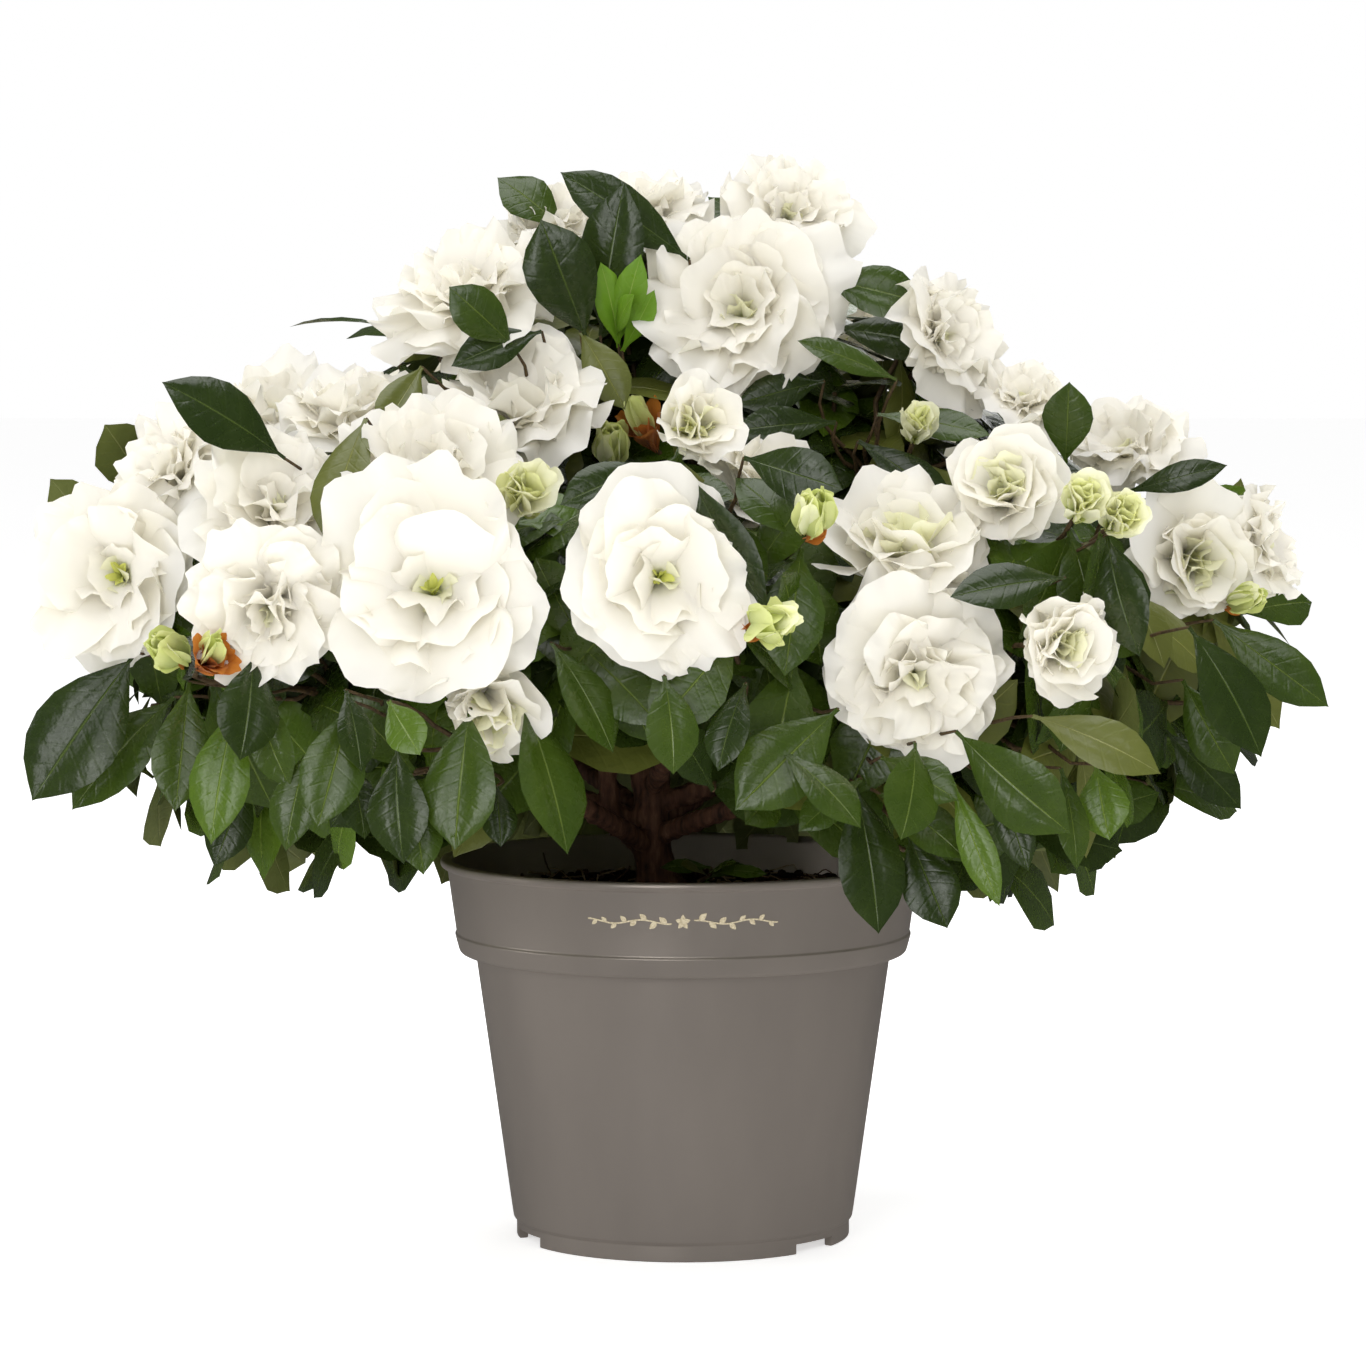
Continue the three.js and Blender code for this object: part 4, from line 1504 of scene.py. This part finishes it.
def make_soil():
    """The root ball, its top heaped unevenly and strewn with crumbs, bark bits and fibres."""
    inside = 0.35 * MM
    rim = along_band(SOIL_TOP) - WALL - inside
    sides = [
        (along_body(FLOOR[1] + 2 * MM) - WALL - inside, FLOOR[1] + inside),
        (along_body(BAND_LOW) - WALL - inside, BAND_LOW + WALL + inside),
        (along_band(BAND_LOW + WALL) - WALL - inside, BAND_LOW + WALL + 2 * inside),
        (rim, SOIL_TOP - 2.5 * MM),
    ]
    top = [(rim * (1 - k / SOIL_RINGS), SOIL_TOP - 1.2 * MM) for k in range(SOIL_RINGS)]
    profile = np.array([(0, FLOOR[1] + inside)] + sides + top + [(0, SOIL_TOP)])
    peat = soil_material("peat", srgb(14, 10, 8), srgb(48, 35, 26))
    soil = turned(profile, SOIL_SIDES, "soil", peat)
    points = mesh_points(soil.data)
    radius = np.linalg.norm(points[:, :2], axis=1)
    free = (points[:, 2] > SOIL_TOP - 2 * MM) & (radius < rim - 0.1 * MM)
    lumps = 0.9 * waves(points, 17 * MM, 41)
    lumps = lumps + 0.7 * np.abs(waves(points, 6 * MM, 42))
    lumps = lumps + 0.35 * waves(points, 2.6 * MM, 43)
    points[:, 2] += np.where(free, lumps * MM, 0)
    move_points(soil.data, points)
    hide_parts("root_ball")
    strew_soil(rim)


CRUMBS = 640
FIBRES = 150


def strew_soil(rim):
    rng = np.random.default_rng(53)
    patches = Patches()
    rows, columns = 5, 7
    for _ in range(CRUMBS):
        turn, radius = rng.uniform(0, TURN), rim * math.sqrt(rng.uniform(0, 0.93))
        size = rng.uniform(0.5, 2.0) * MM * (1.5 if rng.random() < 0.06 else 1)
        height = SOIL_TOP + rng.uniform(-0.6, 0.5) * MM
        middle = np.array([radius * math.cos(turn), radius * math.sin(turn), height])
        theta = np.linspace(0.02, math.pi - 0.02, rows)[:, None]
        phi = np.linspace(0, TURN, columns)[None, :]
        ball = np.stack(np.broadcast_arrays(
            np.sin(theta) * np.cos(phi), np.sin(theta) * np.sin(phi), np.cos(theta)), axis=-1)
        stretch = size * rng.uniform(0.4, 1.2, size=3) * [1, 1, 0.6]
        around = np.sin(3 * phi * (1 - phi / TURN) + rng.uniform(0, 6))
        lump = 1 + 0.25 * around[..., None] * np.sin(theta)[..., None]
        points = (ball * stretch * lump).reshape(-1, 3) + middle
        shade = rng.choice(3, p=[0.62, 0.3, 0.08])
        patches.add(points, grid_quads(rows, columns), np.zeros((rows * columns, 2)), shade)
    for _ in range(FIBRES):
        turn, radius = rng.uniform(0, TURN), rim * math.sqrt(rng.uniform(0, 0.85))
        start = np.array([radius * math.cos(turn), radius * math.sin(turn), SOIL_TOP + 0.2 * MM])
        way = unit(rng.normal(size=3) * [1, 1, 0.25] + [0, 0, 0.15])
        end = start + way * rng.uniform(4, 11) * MM
        end[:2] *= min(1, (rim - 1 * MM) / np.linalg.norm(end[:2]))
        path = bend(start, way, end, unit(way + rng.normal(scale=0.5, size=3)), 5)
        path[:, 2] = np.maximum(path[:, 2], SOIL_TOP)
        points, quads = tube(path, np.full(5, rng.uniform(0.16, 0.4) * MM), 5)
        patches.add(points, quads, np.zeros((len(points), 2)), rng.choice([1, 2]))
    shades = [
        soil_material("peat_crumb", srgb(20, 14, 11), srgb(60, 43, 31)),
        soil_material("bark_bit", srgb(56, 38, 26), srgb(104, 76, 52)),
        soil_material("pale_fibre", srgb(120, 100, 74), srgb(176, 156, 126)),
    ]
    patches.piece("soil_bits", shades, "soil")


make_soil()

# ------------------------------------------------------------------ stage and light

FLOOR_SIZE = 24.0
SKY = 0.52  # brightness of the soft light from all round; the backdrop itself is white
GLOSS_SKY = 0.08  # the same, as glossy surfaces mirror it


def make_stage():
    """A pale floor, lit from within just enough to keep its far parts white."""
    s = Shader("stage", Roughness=0.9)
    s.main.inputs["Base Color"].default_value = srgb(243, 243, 243)
    s.main.inputs["Emission Color"].default_value = (1, 1, 1, 1)
    s.main.inputs["Emission Strength"].default_value = 1.02 - 0.9 * SKY
    s.roughness(s.range(s.noise(3, 2), 0.85, 0.95))
    half = FLOOR_SIZE / 2
    mesh = bpy.data.meshes.new("floor")
    square = [(-half, -half, 0), (half, -half, 0), (half, half, 0), (-half, half, 0)]
    mesh.from_pydata(square, [], [(0, 1, 2, 3)])
    mesh.materials.append(s.material)
    floor = bpy.data.objects.new("floor", mesh)
    bpy.context.scene.collection.objects.link(floor)
    floor.visible_glossy = False


LIGHTS_AIM = Vector((0, 0, 0.17))


def softbox(name, place_, size, power, mirrored=True):
    data = bpy.data.lights.new(name, "AREA")
    data.shape = "RECTANGLE"
    data.size, data.size_y = size
    data.energy = power
    light = bpy.data.objects.new(name, data)
    light.location = place_
    light.rotation_euler = (LIGHTS_AIM - Vector(place_)).to_track_quat("-Z", "Y").to_euler()
    light.visible_glossy = mirrored
    bpy.context.scene.collection.objects.link(light)


def make_light():
    world = bpy.data.worlds.new("studio")
    bpy.context.scene.world = world
    world.use_nodes = True
    nodes, links = world.node_tree.nodes, world.node_tree.links
    ray = nodes.new("ShaderNodeLightPath")
    strength = SKY
    for kind, level in ("Is Camera Ray", 1.0), ("Is Glossy Ray", GLOSS_SKY):
        change = nodes.new("ShaderNodeMath")
        change.operation = "MULTIPLY_ADD"
        links.new(ray.outputs[kind], change.inputs[0])
        change.inputs[1].default_value = level - SKY
        if strength == SKY:
            change.inputs[2].default_value = SKY
        else:
            links.new(strength, change.inputs[2])
        strength = change.outputs[0]
    links.new(strength, nodes["Background"].inputs["Strength"])
    nodes["Background"].inputs["Color"].default_value = (1, 1, 1, 1)
    softbox("key", (-0.3, -1.8, 1.0), (1.4, 1.0), 8)
    softbox("fill", (0.9, -1.2, 1.1), (0.8, 0.8), 5, mirrored=False)
    softbox("top", (0.0, -0.1, 1.8), (1.4, 1.4), 17)
    softbox("front", (-0.5, -1.65, 0.3), (0.5, 0.8), 4.2)
    softbox("left_strip", (-1.3, -0.2, 0.6), (0.35, 1.2), 4.5)
    softbox("back", (0.7, 1.6, 1.1), (1.2, 1.0), 9)


make_stage()
make_light()
bpy.context.scene.view_settings.view_transform = "Standard"

# ------------------------------------------------------------------ finish

for mass in MASSES:
    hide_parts(mass)
